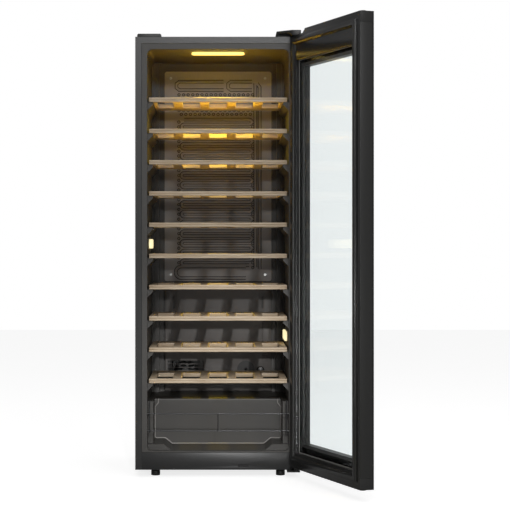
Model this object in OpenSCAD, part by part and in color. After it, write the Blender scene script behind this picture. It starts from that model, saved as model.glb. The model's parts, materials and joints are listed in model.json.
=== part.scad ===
// Free-standing wine cooler: a tall insulated cabinet with a glazed door, ten sliding
// beech shelves and a compressor bay behind the step in its floor.
// Origin: on the floor, under the middle of the cabinet. +X is the hinge side, -Y the front.

/* [Cabinet] */
// Width of the cabinet
cab_w = 550; // [460:5:660]
// Depth of the cabinet without the door
cab_d = 520; // [435:5:625]
// Height of the cabinet without the feet
cab_h = 1438; // [1200:5:1730]
// Clearance under the cabinet
foot_h = 24; // [22:1:40]
// Thickness of the sheet metal
steel_t = 1; // [0.8:0.1:1.2]
// Width of the folded front flange
flange_w = 21; // [16:1:24]
// Width of the folded rear flange
rear_flange_w = 15; // [10:1:25]
// Height of the plinth panel
plinth_h = 57; // [50:1:70]
// Thickness of the plinth panel
plinth_t = 1.2; // [1:0.1:2]
// Depth of the plinth panel's folds
plinth_fold = 13; // [8:1:20]
// Thickness of the base plate
base_t = 1.5; // [1.2:0.1:3]

/* [Cavity] */
// Thickness of the moulded liner
liner_t = 2; // [1.5:0.1:3]
// Insulation and panels at each side
side_wall = 39.5; // [35:0.5:50]
// Insulation and panels over the cavity
top_wall = 41; // [35:1:70]
// Insulation and panels behind the cavity
rear_wall = 80; // [75:1:100]
// Height of the liner's lip over the plinth panel
lip_h = 5.4; // [4:0.2:10]
// Radius of the opening's top corners
corner_top_r = 18; // [8:1:25]
// Radius of the opening's bottom corners
corner_low_r = 15; // [8:1:20]
// Distance from the step's front to the cabinet's back, which the machine bay needs
step_back = 320; // [310:5:335]
// Height of the step's top over the floor plane of the room
step_z = 246; // [240:1:260]
// Rounding of the step's front edge
step_r = 10; // [6:1:15]
// Foam between the step and the machine bay
step_foam = 30; // [20:1:35]
// Clearance between parts that only lie beside each other
gap = 0.5; // [0.3:0.1:1]

/* [Shelves] */
// Number of shelves
shelf_count = 10; // [8:1:10]
// Height of the lowest shelf's middle over the step
shelf_over_step = 71.5; // [66:0.5:84]
// Distance from the top shelf's middle to the ceiling
shelf_headroom = 166.6; // [120:0.1:200]
// Clearance between a shelf's end and the cavity's wall
shelf_side_gap = 5.7; // [2:0.1:12]
// Clearance between a shelf and the cavity's back
shelf_rear_gap = 69; // [60:1:110]
// Thickness of a shelf
shelf_t = 14.6; // [12:0.2:18]
// Depth of the front bar
shelf_bar = 28; // [20:1:40]
// Depth of the rear plank
shelf_plank = 100; // [60:5:120]
// Width of a slat
slat_w = 30.8; // [24:0.2:36]
// Distance from bottle to bottle
bottle_pitch = 91; // [86:1:92]
// Width of a side slat
side_slat_w = 22; // [16:1:26]
// Set-back of the shelves from the cabinet's front
shelf_inset = 16; // [12:1:20]

/* [Door] */
// How far the door's edge lies inside the cabinet's side
door_side_in = 1; // [0:0.5:3]
// Height of the door above the top of the cabinet
door_rise = 10.7; // [8:0.1:14]
// Height of the door's lower edge above the bottom of the cabinet
door_lift = 12; // [8:1:20]
// Thickness of the door
door_t = 45; // [40:1:55]
// Space between cabinet and door, which the gasket fills
door_gap = 10; // [8:0.5:14]
// Angle of the door as it stands here, 0 is closed
door_open = 110; // [0:5:115]
// Thickness of the outer pane
pane_t = 4; // [3:0.5:5]
// Thickness of each inner pane
inner_pane_t = 3.2; // [3:0.2:4]
// Width of the inner frame at the sides
frame_side = 47; // [44:1:60]
// Height of the inner frame at the top
frame_top = 95; // [90:1:110]
// Height of the inner frame at the bottom
frame_low = 52; // [46:1:70]
// Depth of the inner frame, down to the inner pane
frame_depth = 14; // [12:1:18]
// Height of the door's end caps
cap_h = 34; // [30:1:40]
// Radius of the hinge pins
pin_r = 4; // [3:0.5:5]
// Radial clearance of a turning fit
turn_fit = 0.05; // [0.02:0.01:0.1]

/* [Feet and fan] */
// Radius of a foot's pad
foot_r = 15; // [12:1:20]
// Radius of a foot's threaded stud
stud_r = 5; // [4:0.5:6]
// Side of the fan's square frame
fan_size = 92; // [77:1:111]
// Number of fan blades
blade_count = 7; // [5:1:11]

/* [Hidden] */
$fn = 48;
SHELF_IDS = ["shelf_01", "shelf_02", "shelf_03", "shelf_04", "shelf_05",
             "shelf_06", "shelf_07", "shelf_08", "shelf_09", "shelf_10"];

// colours
steel_grey = "#4b4b49";
liner_grey = "#3a3a38";
panel_grey = "#6c6c69";
black = "#1c1c1b";
door_black = "#2b2b28";
beech = "#d8c39c";
wire_grey = "#b9bab8";
foam_cream = "#e6dcb8";
copper = "#b5713f";
warm_light = "#ffd468";
pale_glass = "#dfe8e8";

eps = 0.01;
over = 5;                                  // how far a cut runs past the solid that it cuts

// cabinet, from its outer sizes inwards
front = -cab_d / 2;
back = cab_d / 2;
side = cab_w / 2;
low = foot_h;
top = foot_h + cab_h;
cav_x = side - side_wall;
cav_top = top - top_wall;
cav_back = back - rear_wall;
floor_z = low + plinth_h + lip_h;
step_y = back - step_back;
inner_back = back - 2 * steel_t;           // front face of the back panel
bay_front = step_y + liner_t + step_foam + steel_t;
bay_top = step_z - liner_t - step_foam - steel_t;
plinth_x = side - flange_w;
shelf_w = 2 * (cav_x - shelf_side_gap);
shelf_d = cab_d - rear_wall - shelf_inset - shelf_rear_gap;
shelf_low_z = step_z + shelf_over_step;
shelf_pitch = (cav_top - shelf_headroom - shelf_low_z) / (shelf_count - 1);
door_w = cab_w - 2 * door_side_in;

// shelf ledges, corner columns and kerbs of the liner
ledge_in = 18;
ledge_tip = 8;
ledge_start = 25;
column_steps = [[10, 45], [26, 30], [41.5, 12]];   // [inwards from the wall, forwards from the back]
kerb_h = 19;
kerb_in = 54;
kerb_run = 24;
kerb_start = 30;
pad_in = 18;
pad_start = 60;
column_x = cav_x - column_steps[2][0];

// evaporator and the air cover under it
plate_x = column_x - 2.5;
plate_t = 1.5;
plate_stand = 8.5;
plate_low = floor_z + 554;
plate_top = cav_top - 29;
plate_screw_in = 22.5;
plate_screw_down = 24;
cover_t = 2.5;
cover_stand = 14;
cover_low = step_z + 4;
cover_top = plate_low - 4;
cover_x = plate_x - 1.5;
cover_face = cav_back - cover_stand;
fan_open = [129, 84];
fan_x = -(cover_x - 9.5 - fan_open[0] / 2);
fan_z = step_z + 68;
fan_recess = 34;
fan_bar = 3;
fan_bars = 6;
filter_x = cover_x - 90.5;
filter_z = step_z + 79.5;
filter_r = 27;
filter_rim = 31;
slot_size = [6, 43];
slot_x = cover_x - 31;
slot_z = cover_top - 72;
probe_x = cover_x - 38;

// fan
fan_y = cover_face + cover_t;
fan_depth = 25;
fan_bore = fan_size / 2 - 3;
hub_r = 17;
shaft_r = 1.5;
blade_tip = fan_bore - 2;

// lights
lamp = [178, 32, 8];
lamp_front = 81;
side_lamp_back = 112;                      // from the cavity's back to a side light
side_lamp_z = [shelf_low_z + 4.39 * shelf_pitch, shelf_low_z + 1.35 * shelf_pitch];

// bottle guard
wire_r = 1.5;
weld_gap = 0.05;                           // between crossing wires, each its own solid
guard_y = front + 15;
guard_z = [floor_z + 65, floor_z + 122];
guard_top = floor_z + 168;
guard_x = cav_x - 7.5;
socket_r = 5;
socket_l = 5;

// feet
foot_x = side - 66;
foot_front_y = front + 50;
foot_rear_y = back - 45;
foot_pad_h = 17.6;
glue_gap = 0.05;                           // between a shelf's slats and its bars
weld_nut_r = 9;
weld_nut_h = 12;
stud_top = low + 21;

// machine bay
comp_x = -(side - 180);
comp_y = back - 140;
comp_r = 75;
comp_shell = 4;
comp_motor_r = 46;
mount_h = 12;
comp_plate_t = 3;
comp_low = low + base_t + mount_h + comp_plate_t;
comp_top = comp_low + 138;
coil_r = 3;
coil_y = back - 25;
coil_x = [side - 215, side - 55];
coil_passes = 6;
coil_pitch = 25;
coil_low = low + 26;
coil_high = coil_low + (coil_passes - 1) * coil_pitch;
pipe_r = 3;
pipe_y = back - 45;
suction_x = coil_x[1] - 70;
suction_drop_x = comp_x + comp_r + 35;
capillary_r = 1.25;
drier_l = 80;
drier_x = coil_x[0] - 10 - drier_l;
capillary_x = drier_x - 20;
tray_t = 2;
drain_x = comp_x + 35;
drain_y = cav_back - 15;
gland_x = -(side - 55);
gland_z = low + 46;
cord_r = 3.75;

// hinges
pivot_in = 15.5;                           // pivot, inwards from the door's hinge edge
pivot_depth = 16.2;                        // pivot, outwards from the door's inner face
door_x = door_w / 2;
door_y = front - door_gap;
door_low = low + door_lift;
door_top = top + door_rise;
pivot_x = door_x - pivot_in;
pivot_y = door_y - pivot_depth;
plate3 = 3;
hinge_screw_r = 2.5;
hinge_hole_r = hinge_screw_r + 0.1;
screw_deep = 12;
top_screws = [[side - 63, front + 20], [side - 63, front + 46], [side - 25, front + 46]];
low_screws = [[side - 35, front + 20], [side - 35, front + 48], [side - 13, front + 34]];
notch_s = 104;                             // length of the notch over the top hinge
notch_ramp = 22;
notch_z = top - 2;
bush_r = pin_r + 3;
bush_l = 20;
washer_r = pin_r + 4;
cover_h = 17;

// glazing, measured from the door's edges
pane_in = 36;
border_side = 71;
border_top = 118;
border_low = 84;
spacer_w = 11;
pane_top = door_top - 86;
mid_pane_v = 27;
outer_v = door_t - pane_t;
profile_w = 34;
profile_t = 2;
skin_t = 2.5;
arm_reach = door_gap + outer_v - 11;         // of the hinge arms, from the cabinet's front

function shelf_z(i) = shelf_low_z + (shelf_count - 1 - i) * shelf_pitch;

module block(a, b) { translate(a) cube(b - a); }

module both_sides() {
    children();
    mirror([1, 0, 0]) children();
}

// a box in the closed door: s from the hinge edge, v outwards from the inner face
module door_block(s, v, z) {
    block([door_x - s[1], door_y - v[1], z[0]], [door_x - s[0], door_y - v[0], z[1]]);
}

module door_pose() {
    translate([pivot_x, pivot_y, 0]) rotate([0, 0, door_open])
        translate([-pivot_x, -pivot_y, 0]) children();
}

// a round bar from a to b
module bar(a, b, r) {
    d = b - a;
    translate(a) rotate([0, acos(d[2] / norm(d)), atan2(d[1], d[0])]) cylinder(h = norm(d), r = r);
}

// bars along a route, with a swelling at each joint
module route(points, r) {
    for (i = [0 : len(points) - 2]) bar(points[i], points[i + 1], r);
    for (i = [1 : len(points) - 2]) translate(points[i]) sphere(r = r * 1.25, $fn = 20);
}

// a rectangle with its own radius for the top and the bottom corners
module opening_outline(x, z0, z1, r_low, r_top) {
    translate([-x, z0 + r_low]) square([2 * x, z1 - z0 - r_low - r_top]);
    translate([-x + r_low, z0]) square([2 * (x - r_low), z1 - z0 - r_top]);
    translate([-x + r_top, z0 + r_low]) square([2 * (x - r_top), z1 - z0 - r_low]);
    for (s = [-1, 1]) {
        translate([s * (x - r_low), z0 + r_low]) circle(r = r_low);
        translate([s * (x - r_top), z1 - r_top]) circle(r = r_top);
    }
}

module pill(length, width, height) {
    linear_extrude(height) {
        square([length - width, width], center = true);
        for (s = [-1, 1]) translate([s * (length - width) / 2, 0]) circle(d = width);
    }
}

// an outline in X and Z, drawn along +Y from y0 to y1
module along_y(y0, y1) {
    translate([0, y1, 0]) rotate([90, 0, 0]) linear_extrude(y1 - y0) children();
}

// ---- the cavity: g is how far it is grown, so the liner's outside is the cavity grown by its wall

module ledge(i, g) {
    z = shelf_z(i) - shelf_t / 2 - gap;
    x = cav_x - ledge_in + g;
    wall = cav_x + g + 1;
    tip = z - ledge_tip + g * (sqrt(2) - 1);
    along_y(front + ledge_start + g, cav_back + g + 1)
        polygon([[x, z - g], [wall, z - g], [wall, tip - wall + x], [x, tip]]);
}

module kerb(g) {
    shift = g * tan(atan(kerb_h / kerb_run) / 2);
    x = cav_x - kerb_in - kerb_run + shift;
    wall = cav_x + g + 1;
    along_y(front + kerb_start + g, step_y + 2 * step_r)
        polygon([[x - 1 * kerb_run / kerb_h, floor_z - g - 1], [x, floor_z - g],
                 [x + kerb_run, floor_z + kerb_h - g], [wall, floor_z + kerb_h - g],
                 [wall, floor_z - g - 1]]);
}

module column(step, g) {
    block([cav_x - step[0] + g, cav_back - step[1] + g, floor_z - g - 1],
          [cav_x + g + 1, cav_back + g + 1, cav_top + g + 1]);
}

module side_pad(g) {
    block([cav_x - pad_in + g, front + pad_start + g, floor_z - g - 1],
          [cav_x + g + 1, cav_back + g + 1, step_z - g]);
}

module step(g) {
    r = step_r - g;
    wide = 2 * (cav_x + g + 1);
    translate([-wide / 2, 0, 0]) rotate([90, 0, 90]) linear_extrude(wide) {
        translate([step_y + step_r, floor_z - g - 1])
            square([cav_back + g + 1 - step_y - step_r, step_z - floor_z + 1]);
        translate([step_y + g, floor_z - g - 1])
            square([cav_back - step_y + 1, step_z - floor_z + 1 + g - step_r]);
        translate([step_y + step_r, step_z - step_r]) circle(r = r);
    }
}

module cavity(g) {
    difference() {
        union() {
            along_y(front - 1, cav_back + g)
                opening_outline(cav_x + g, floor_z - g, cav_top + g, corner_low_r + g, corner_top_r + g);
            block([fan_x - fan_size / 2 - 4 - g, cav_back - 1, fan_z - fan_size / 2 - 4 - g],
                  [fan_x + fan_size / 2 + 4 + g, cav_back + fan_recess + g, fan_z + fan_size / 2 + 4 + g]);
        }
        both_sides() {
            for (i = [0 : shelf_count - 1]) ledge(i, g);
            for (s = column_steps) column(s, g);
            kerb(g);
            side_pad(g);
        }
        step(g);
    }
}

// ---- cabinet

module side_panels() color(steel_grey) both_sides() {
    block([side - steel_t, front, low], [side, back, top - steel_t]);
    block([plinth_x, front, low], [side, front + steel_t, top - steel_t]);
    block([side - rear_flange_w, back - steel_t, low], [side, back, top - steel_t]);
}

module top_panel() color(steel_grey) difference() {
    union() {
        block([-side, front, top - steel_t], [side, back, top]);
        block([-plinth_x, front, top - flange_w], [plinth_x, front + steel_t, top]);
        block([-side + rear_flange_w, back - steel_t, top - rear_flange_w],
              [side - rear_flange_w, back, top]);
    }
    for (p = top_screws) translate([p[0], p[1], top - over]) cylinder(h = 2 * over, r = hinge_hole_r);
}

module back_panel() color(steel_grey)
    block([-side + steel_t, inner_back, bay_top], [side - steel_t, back - steel_t, top - steel_t]);

module base_plate() color(steel_grey) difference() {
    union() {
        block([-side + steel_t, front + plinth_t, low], [side - steel_t, inner_back, low + base_t]);
        for (x = [-foot_x, foot_x]) for (y = [foot_front_y, foot_rear_y])
            translate([x, y, low]) cylinder(h = base_t + weld_nut_h, r = weld_nut_r);
    }
    for (x = [-foot_x, foot_x]) for (y = [foot_front_y, foot_rear_y])
        translate([x, y, low - over]) cylinder(h = 2 * over + base_t + weld_nut_h, r = stud_r + turn_fit);
    for (p = low_screws) translate([p[0], p[1], low - over]) cylinder(h = 2 * over, r = hinge_hole_r);
}

slot_w = 35;
slot_h = 7.6;
slot_from = [66, 9.3];

module plinth_panel() color(steel_grey) difference() {
    union() {
        block([-plinth_x, front, low], [plinth_x, front + plinth_t, low + plinth_h]);
        block([-plinth_x, front, low + plinth_h - plinth_t],
              [plinth_x, front + plinth_fold, low + plinth_h]);
        block([-plinth_x, front + plinth_t, low + base_t],
              [plinth_x, front + plinth_fold, low + base_t + plinth_t]);
    }
    block([slot_from[0], front - over, low + slot_from[1]],
          [slot_from[0] + slot_w, front + over, low + slot_from[1] + slot_h]);
}

module bay_divider() color(panel_grey) difference() {
    union() {
        block([-side + steel_t, bay_front - steel_t, low + base_t],
              [side - steel_t, bay_front, bay_top + steel_t]);
        block([-side + steel_t, bay_front - steel_t, bay_top],
              [side - steel_t, inner_back, bay_top + steel_t]);
    }
    pipe_passages(0);
}

// square passages through the foam and the divider for pipes and the drain
module pipe_passages(g) {
    w = pipe_r + 1 + g;
    block([suction_x - w, pipe_y - w, bay_top - over], [suction_x + w, pipe_y + w, plate_low + 20 + w]);
    block([suction_x - w, cav_back - over, plate_low + 20 - w],
          [suction_x + w, pipe_y + w, plate_low + 20 + w]);
    block([capillary_x - w, coil_y - w, bay_top - over], [capillary_x + w, coil_y + w, plate_top - 60 + w]);
    block([capillary_x - w, cav_back - over, plate_top - 60 - w],
          [capillary_x + w, coil_y + w, plate_top - 60 + w]);
    block([drain_x - 8, drain_y - 8, bay_top - over], [drain_x + 8, drain_y + 8, step_z - liner_t]);
}

// hairline cuts that part the foam into plain blocks
module foam_seams() {
    cut = 0.2;
    wall = cav_x + liner_t;
    pad = cav_x - pad_in + liner_t;
    kerb_foot = cav_x - kerb_in - kerb_run - 2;
    column_front = cav_back + liner_t - column_steps[0][1];
    both_sides() {
        block([wall, front - over, low], [wall + cut, back, top]);
        block([pad, front - over, low], [pad + cut, step_y + liner_t, step_z]);
        block([kerb_foot, front - over, low], [kerb_foot + cut, step_y + liner_t, step_z]);
    }
    block([-wall, front - over, cav_top + liner_t], [wall, back, cav_top + liner_t + cut]);
    block([-wall, cav_back + liner_t, bay_top - over], [wall, cav_back + liner_t + cut, cav_top + liner_t]);
    block([-wall, bay_front - 2 * steel_t - cut, low], [wall, bay_front - 2 * steel_t, step_z]);
    block([-wall, step_y + liner_t, low], [wall, step_y + liner_t + cut, step_z]);
    block([-wall, column_front, step_z - liner_t - cut],
          [wall, cav_back + liner_t + cut, step_z - liner_t]);
    block([-wall, column_front, step_z - liner_t], [wall, column_front + cut, cav_top + liner_t]);
}

module foam_insulation() color(foam_cream) difference() {
    block([-side + steel_t, front + steel_t, low + base_t], [side - steel_t, inner_back, top - steel_t]);
    cavity(liner_t);
    liner_flange();
    block([-plinth_x, front - 1, low], [plinth_x, front + plinth_fold, low + plinth_h]);
    block([-side, bay_front - steel_t, low], [side, back, bay_top + steel_t]);
    both_sides() translate([foot_x, foot_front_y, low])
        block([-weld_nut_r - 1, -weld_nut_r - 1, 0],
              [weld_nut_r + 1, weld_nut_r + 1, stud_top - low + 2]);
    for (p = top_screws) translate([p[0], p[1], top - screw_deep])
        cylinder(h = screw_deep, r = hinge_hole_r);
    for (p = low_screws) translate([p[0], p[1], low]) cylinder(h = screw_deep, r = hinge_hole_r);
    pipe_passages(0.5);
    foam_seams();
}

module liner_flange() {
    along_y(front, front + liner_t) difference() {
        translate([-plinth_x + gap, low + plinth_h])
            square([2 * (plinth_x - gap), top - flange_w - gap - low - plinth_h]);
        opening_outline(cav_x + liner_t / 2, floor_z - liner_t / 2, cav_top + liner_t / 2,
                        corner_low_r, corner_top_r);
    }
}

module inner_liner() color(liner_grey) difference() {
    union() {
        intersection() {
            cavity(liner_t);
            block([-side, front, low], [side, back, top]);
        }
        liner_flange();
    }
    cavity(0);
    translate([drain_x, drain_y, step_z - over]) cylinder(h = 2 * over, r = 5);
    block([suction_x - 5, cav_back - over, plate_low + 15], [suction_x + 5, cav_back + over, plate_low + 25]);
    block([capillary_x - 3, cav_back - over, plate_top - 63],
          [capillary_x + 3, cav_back + over, plate_top - 57]);
}

module plate_corners() {
    for (x = [-1, 1]) for (z = [plate_low + plate_screw_down, plate_top - plate_screw_down])
        translate([x * (plate_x - plate_screw_in), cav_back, z]) rotate([90, 0, 0]) children();
}

module evaporator_plate() color(panel_grey) difference() {
    union() {
        along_y(cav_back - plate_stand - plate_t, cav_back - plate_stand)
            opening_outline(plate_x, plate_low, plate_top, 9, 9);
        plate_corners() cylinder(h = plate_stand + plate_t / 2, r = 8);
    }
    plate_corners() translate([0, 0, -over]) cylinder(h = 30, r = 2.1);
}

module evaporator_screws() color(wire_grey) plate_corners() {
    cylinder(h = plate_stand + plate_t, r = 1.95);
    translate([0, 0, plate_stand + plate_t]) cylinder(h = 2.4, r = 4.5);
}

module air_cover() color(panel_grey) difference() {
    union() {
        difference() {
            block([-cover_x, cover_face, cover_low], [cover_x, cav_back, cover_top]);
            block([-cover_x + cover_t, cover_face + cover_t, cover_low + cover_t],
                  [cover_x - cover_t, cav_back + over, cover_top - cover_t]);
            translate([fan_x, cover_face, fan_z])
                block([-fan_open[0] / 2, -over, -fan_open[1] / 2], [fan_open[0] / 2, over, fan_open[1] / 2]);
        }
        for (i = [1 : fan_bars]) translate([fan_x, cover_face, fan_z])
            block([-fan_open[0] / 2, 0.5, (i / (fan_bars + 1) - 0.5) * fan_open[1] - fan_bar / 2],
                  [fan_open[0] / 2, cover_t, (i / (fan_bars + 1) - 0.5) * fan_open[1] + fan_bar / 2]);
    }
    translate([filter_x, cav_back, filter_z]) rotate([90, 0, 0]) cylinder(h = 30, r = filter_r + 0.3);
    for (s = [-1, 1]) translate([s * slot_x, cover_face, slot_z])
        block([-slot_size[0] / 2, -over, -slot_size[1] / 2], [slot_size[0] / 2, over, slot_size[1] / 2]);
}

module fan_frame() color(black) translate([fan_x, fan_y, fan_z]) {
    difference() {
        block([-fan_size / 2, 0, -fan_size / 2], [fan_size / 2, fan_depth, fan_size / 2]);
        translate([0, -over, 0]) rotate([-90, 0, 0]) cylinder(h = fan_depth + 2 * over, r = fan_bore);
    }
    difference() {
        union() {
            translate([0, fan_depth - 7, 0]) rotate([-90, 0, 0]) cylinder(h = 7, r = hub_r);
            for (a = [90 : 120 : 330]) rotate([0, a, 0])
                block([hub_r - 3, fan_depth - 4, -3], [fan_bore + 1.5, fan_depth, 3]);
        }
        translate([0, fan_depth - 7 - eps, 0]) rotate([-90, 0, 0])
            cylinder(h = 5.5, r = shaft_r + turn_fit);
    }
}

module fan_rotor() color(black) translate([fan_x, fan_y, fan_z]) {
    translate([0, 1.5, 0]) rotate([-90, 0, 0]) cylinder(h = 16, r = hub_r - 1);
    translate([0, 10, 0]) rotate([-90, 0, 0]) cylinder(h = 13, r = shaft_r);
    for (i = [0 : blade_count - 1]) rotate([0, i * 360 / blade_count, 0])
        translate([hub_r - 3, 9.5, 0]) rotate([38, 0, 0])
            block([0, -0.75, -9], [blade_tip - hub_r + 3, 0.75, 9]);
}

module charcoal_filter() color(black) translate([filter_x, cover_face, filter_z]) rotate([90, 0, 0])
    difference() {
        union() {
            cylinder(h = 2.5, r = filter_rim);
            translate([0, 0, -12]) cylinder(h = 13, r = filter_r);
        }
        translate([0, 0, 1]) cylinder(h = over, r = filter_r - 5);
    }

module temperature_probe() color(black) translate([probe_x, cover_face, step_z + 76]) rotate([90, 0, 0])
    rotate_extrude() polygon([[0, 0], [14, 0], [14, 2.5], [10, 5.5], [0, 7]]);

module ceiling_light() color(warm_light)
    translate([0, front + lamp_front + lamp[1] / 2, cav_top - lamp[2]]) pill(lamp[0], lamp[1], lamp[2]);

module side_lights() color(warm_light) for (k = [0, 1])
    translate([(k == 0 ? -1 : 1) * cav_x, cav_back - side_lamp_back - lamp[0] / 2, side_lamp_z[k]])
        rotate([0, k == 0 ? 90 : -90, 0]) rotate([0, 0, 90]) pill(lamp[0], lamp[1], lamp[2]);

module bottle_guard() color(wire_grey) {
    upright_y = guard_y - 2 * wire_r - weld_gap;
    for (z = guard_z)
        bar([-cav_x + 1.5, guard_y, z], [cav_x - 1.5, guard_y, z], wire_r);
    for (x = [-1, 1])
        bar([x * guard_x, upright_y, guard_z[0] - 5], [x * guard_x, upright_y, guard_top], wire_r);
    bar([0, upright_y, guard_z[0] - 2], [0, upright_y, guard_z[1] + 2], wire_r);
}

module guard_sockets() color(black) both_sides()
    for (z = guard_z) translate([cav_x, guard_y, z]) rotate([0, -90, 0])
        difference() {
            cylinder(h = socket_l, r = socket_r);
            translate([0, 0, 1]) cylinder(h = socket_l + 1, r = wire_r + 0.15);
        }

// ---- machine bay

mount_spots = [for (x = [-70, 70]) for (y = [-55, 55]) [comp_x + x, comp_y + y]];

module compressor() color(black) difference() {
    union() {
        block([comp_x - 85, comp_y - 70, comp_low - comp_plate_t],
              [comp_x + 85, comp_y + 70, comp_low]);
        translate([comp_x, comp_y, comp_low]) rotate_extrude()
            polygon([[0, 0], [comp_r - 25, 0], [comp_r - 6, 12], [comp_r, 26], [comp_r, 95],
                     [comp_r - 6, 118], [comp_r - 26, 134], [0, comp_top - comp_low]]);
    }
    // the space between its shell and the motor inside
    translate([comp_x, comp_y, comp_low]) rotate_extrude()
        polygon([[comp_motor_r, 12], [comp_r - 12, 14], [comp_r - comp_shell, 28],
                 [comp_r - comp_shell, 93], [comp_r - 10, 114], [comp_r - 28, 128],
                 [0.5, comp_top - comp_low - comp_shell], [0.5, 105], [comp_motor_r, 105]]);
    for (p = mount_spots) translate([p[0], p[1], comp_low - 20]) cylinder(h = 40, r = 4.6);
}

module compressor_mounts() color(black) for (p = mount_spots)
    translate([p[0], p[1], low + base_t]) {
        cylinder(h = mount_h, r = 12);
        cylinder(h = mount_h + comp_plate_t + 3, r = 4.4);
    }

module starter_box() color(black) difference() {
    block([comp_x - 30, comp_y - comp_r - 28, comp_low + 22],
          [comp_x + 30, comp_y - comp_r + 20, comp_low + 85]);
    translate([comp_x, comp_y, comp_low]) cylinder(h = 120, r = comp_r + gap);
}

module condenser() color(black) {
    for (i = [0 : coil_passes - 1])
        bar([coil_x[0], coil_y, coil_low + i * coil_pitch],
            [coil_x[1], coil_y, coil_low + i * coil_pitch], coil_r);
    for (i = [0 : coil_passes - 2])
        translate([coil_x[(i + 1) % 2], coil_y, coil_low + (i + 0.5) * coil_pitch])
            rotate([90, i % 2 == 0 ? 90 : -90, 0]) rotate_extrude(angle = 180)
                translate([coil_pitch / 2, 0]) circle(r = coil_r, $fn = 24);
    for (x = [coil_x[0] + 8 : 16 : coil_x[1] - 8])
        block([x - 0.4, coil_y - 11, coil_low - 10], [x + 0.4, coil_y + 11, coil_high + 10]);
}

module refrigerant_pipes() color(copper) {
    // discharge, from the compressor to the condenser
    route([[comp_x, comp_y + comp_r + gap, comp_low + 50], [comp_x, coil_y, comp_low + 50],
           [comp_x, coil_y, coil_low], [coil_x[0], coil_y, coil_low]], pipe_r);
    // suction, from the evaporator to the compressor
    route([[suction_x, cav_back - plate_stand + gap, plate_low + 20], [suction_x, pipe_y, plate_low + 20],
           [suction_x, pipe_y, comp_low + 80], [suction_drop_x, pipe_y, comp_low + 80],
           [suction_drop_x, comp_y, comp_low + 80],
           [comp_x + comp_r + gap, comp_y, comp_low + 80]], pipe_r);
    // liquid line
    bar([coil_x[0] - 10, coil_y, coil_high], [coil_x[0], coil_y, coil_high], pipe_r);
    // capillary, from the filter drier to the evaporator
    route([[drier_x, coil_y, coil_high], [capillary_x, coil_y, coil_high],
           [capillary_x, coil_y, plate_top - 60],
           [capillary_x, cav_back - plate_stand + gap, plate_top - 60]], capillary_r);
}

module filter_drier() color(copper)
    translate([drier_x, coil_y, coil_high]) rotate([0, 90, 0]) rotate_extrude()
        polygon([[0, 0], [3, 0], [10, 12], [10, drier_l - 12], [3.5, drier_l], [0, drier_l]]);

module drain_tray() color(black) difference() {
    block([comp_x - 90, comp_y - 80, comp_top + 2], [comp_x + 90, comp_y + 80, comp_top + 24]);
    block([comp_x - 90 + tray_t, comp_y - 80 + tray_t, comp_top + 2 + tray_t],
          [comp_x + 90 - tray_t, comp_y + 80 - tray_t, comp_top + 30]);
}

module drain_hose() color(black) translate([drain_x, drain_y, comp_top + 12]) difference() {
    cylinder(h = step_z - liner_t - comp_top - 12, r = 7);
    translate([0, 0, -1]) cylinder(h = 80, r = 5);
}

module control_box() color(panel_grey) difference() {
    wall = 2;
    a = [side - 155, bay_front + 12, low + base_t];
    b = a + [120, 80, 60];
    block(a, b);
    block(a + [wall, wall, wall], b - [wall, wall, wall]);
}

module machine_cover() color(steel_grey) difference() {
    block([-side + steel_t, inner_back, low], [side - steel_t, back - steel_t, bay_top]);
    for (x = [-180 : 20 : 180]) for (z = [low + 85, low + 150])
        translate([x, back, z]) block([-3.5, -over, -25], [3.5, over, 25]);
    translate([gland_x, back - over, gland_z]) rotate([-90, 0, 0]) cylinder(h = 2 * over, r = 8);
}

module cord_gland() color(black) translate([gland_x, back, gland_z]) rotate([-90, 0, 0])
    difference() {
        union() {
            translate([0, 0, -steel_t]) cylinder(h = 3, r = 11);
            translate([0, 0, -12]) cylinder(h = 12, r = 7.9);
        }
        translate([0, 0, -20]) cylinder(h = 40, r = cord_r);
    }

// ---- hinges

module top_hinge_bracket() color(wire_grey) difference() {
    union() {
        block([side - 77, front + 6, top], [side - 5, front + 60, top + plate3]);
        block([side - 33, front - arm_reach, top], [side - 5, front + 6, top + plate3]);
        translate([pivot_x, pivot_y, notch_z - bush_l + gap])
            cylinder(h = top - notch_z + bush_l + 1 - gap, r = pin_r);
    }
    for (p = top_screws) translate([p[0], p[1], top - over]) cylinder(h = 3 * over, r = hinge_hole_r);
}

module top_hinge_cover() color(black) difference() {
    union() {
        block([side - 85, front, top], [side - 1.5, front + 66, top + cover_h]);
        block([side - 36, front - arm_reach - 5, top + gap], [side - 1.5, front + 1, top + cover_h]);
    }
    block([side - 83, front + 2, top - 1], [side - 3.5, front + 64, top + cover_h - 2]);
    block([side - 34, front - arm_reach - 3, top - 1], [side - 3.5, front + 3, top + cover_h - 2]);
    block([side - 77, front - 1, top - 1], [side - 37, front + 3, top + 9.5]);
}

module hinge_hole_cap() color(black) difference() {
    along_y(front + 2, front + 62)
        polygon([[-side + 6.4, top], [-side + 6.4, top + 7], [-side + 10, top + 10.6],
                 [-side + 83, top + 10.6], [-side + 86.4, top + 7], [-side + 86.4, top]]);
    block([-side + 9, front + 4.5, top - 1], [-side + 84, front + 59.5, top + 7]);
}

module bottom_hinge_bracket() color(wire_grey) difference() {
    union() {
        block([side - 47, front - arm_reach, low - plate3], [side - 4, front + 60, low]);
        translate([pivot_x, pivot_y, low - 1]) cylinder(h = door_lift + bush_l + 1 - gap, r = pin_r);
        translate([pivot_x, pivot_y, low - 1]) cylinder(h = door_lift + 1 - 0.3, r = washer_r);
    }
    for (p = low_screws) translate([p[0], p[1], low - 2 * over]) cylinder(h = 3 * over, r = hinge_hole_r);
}

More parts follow.
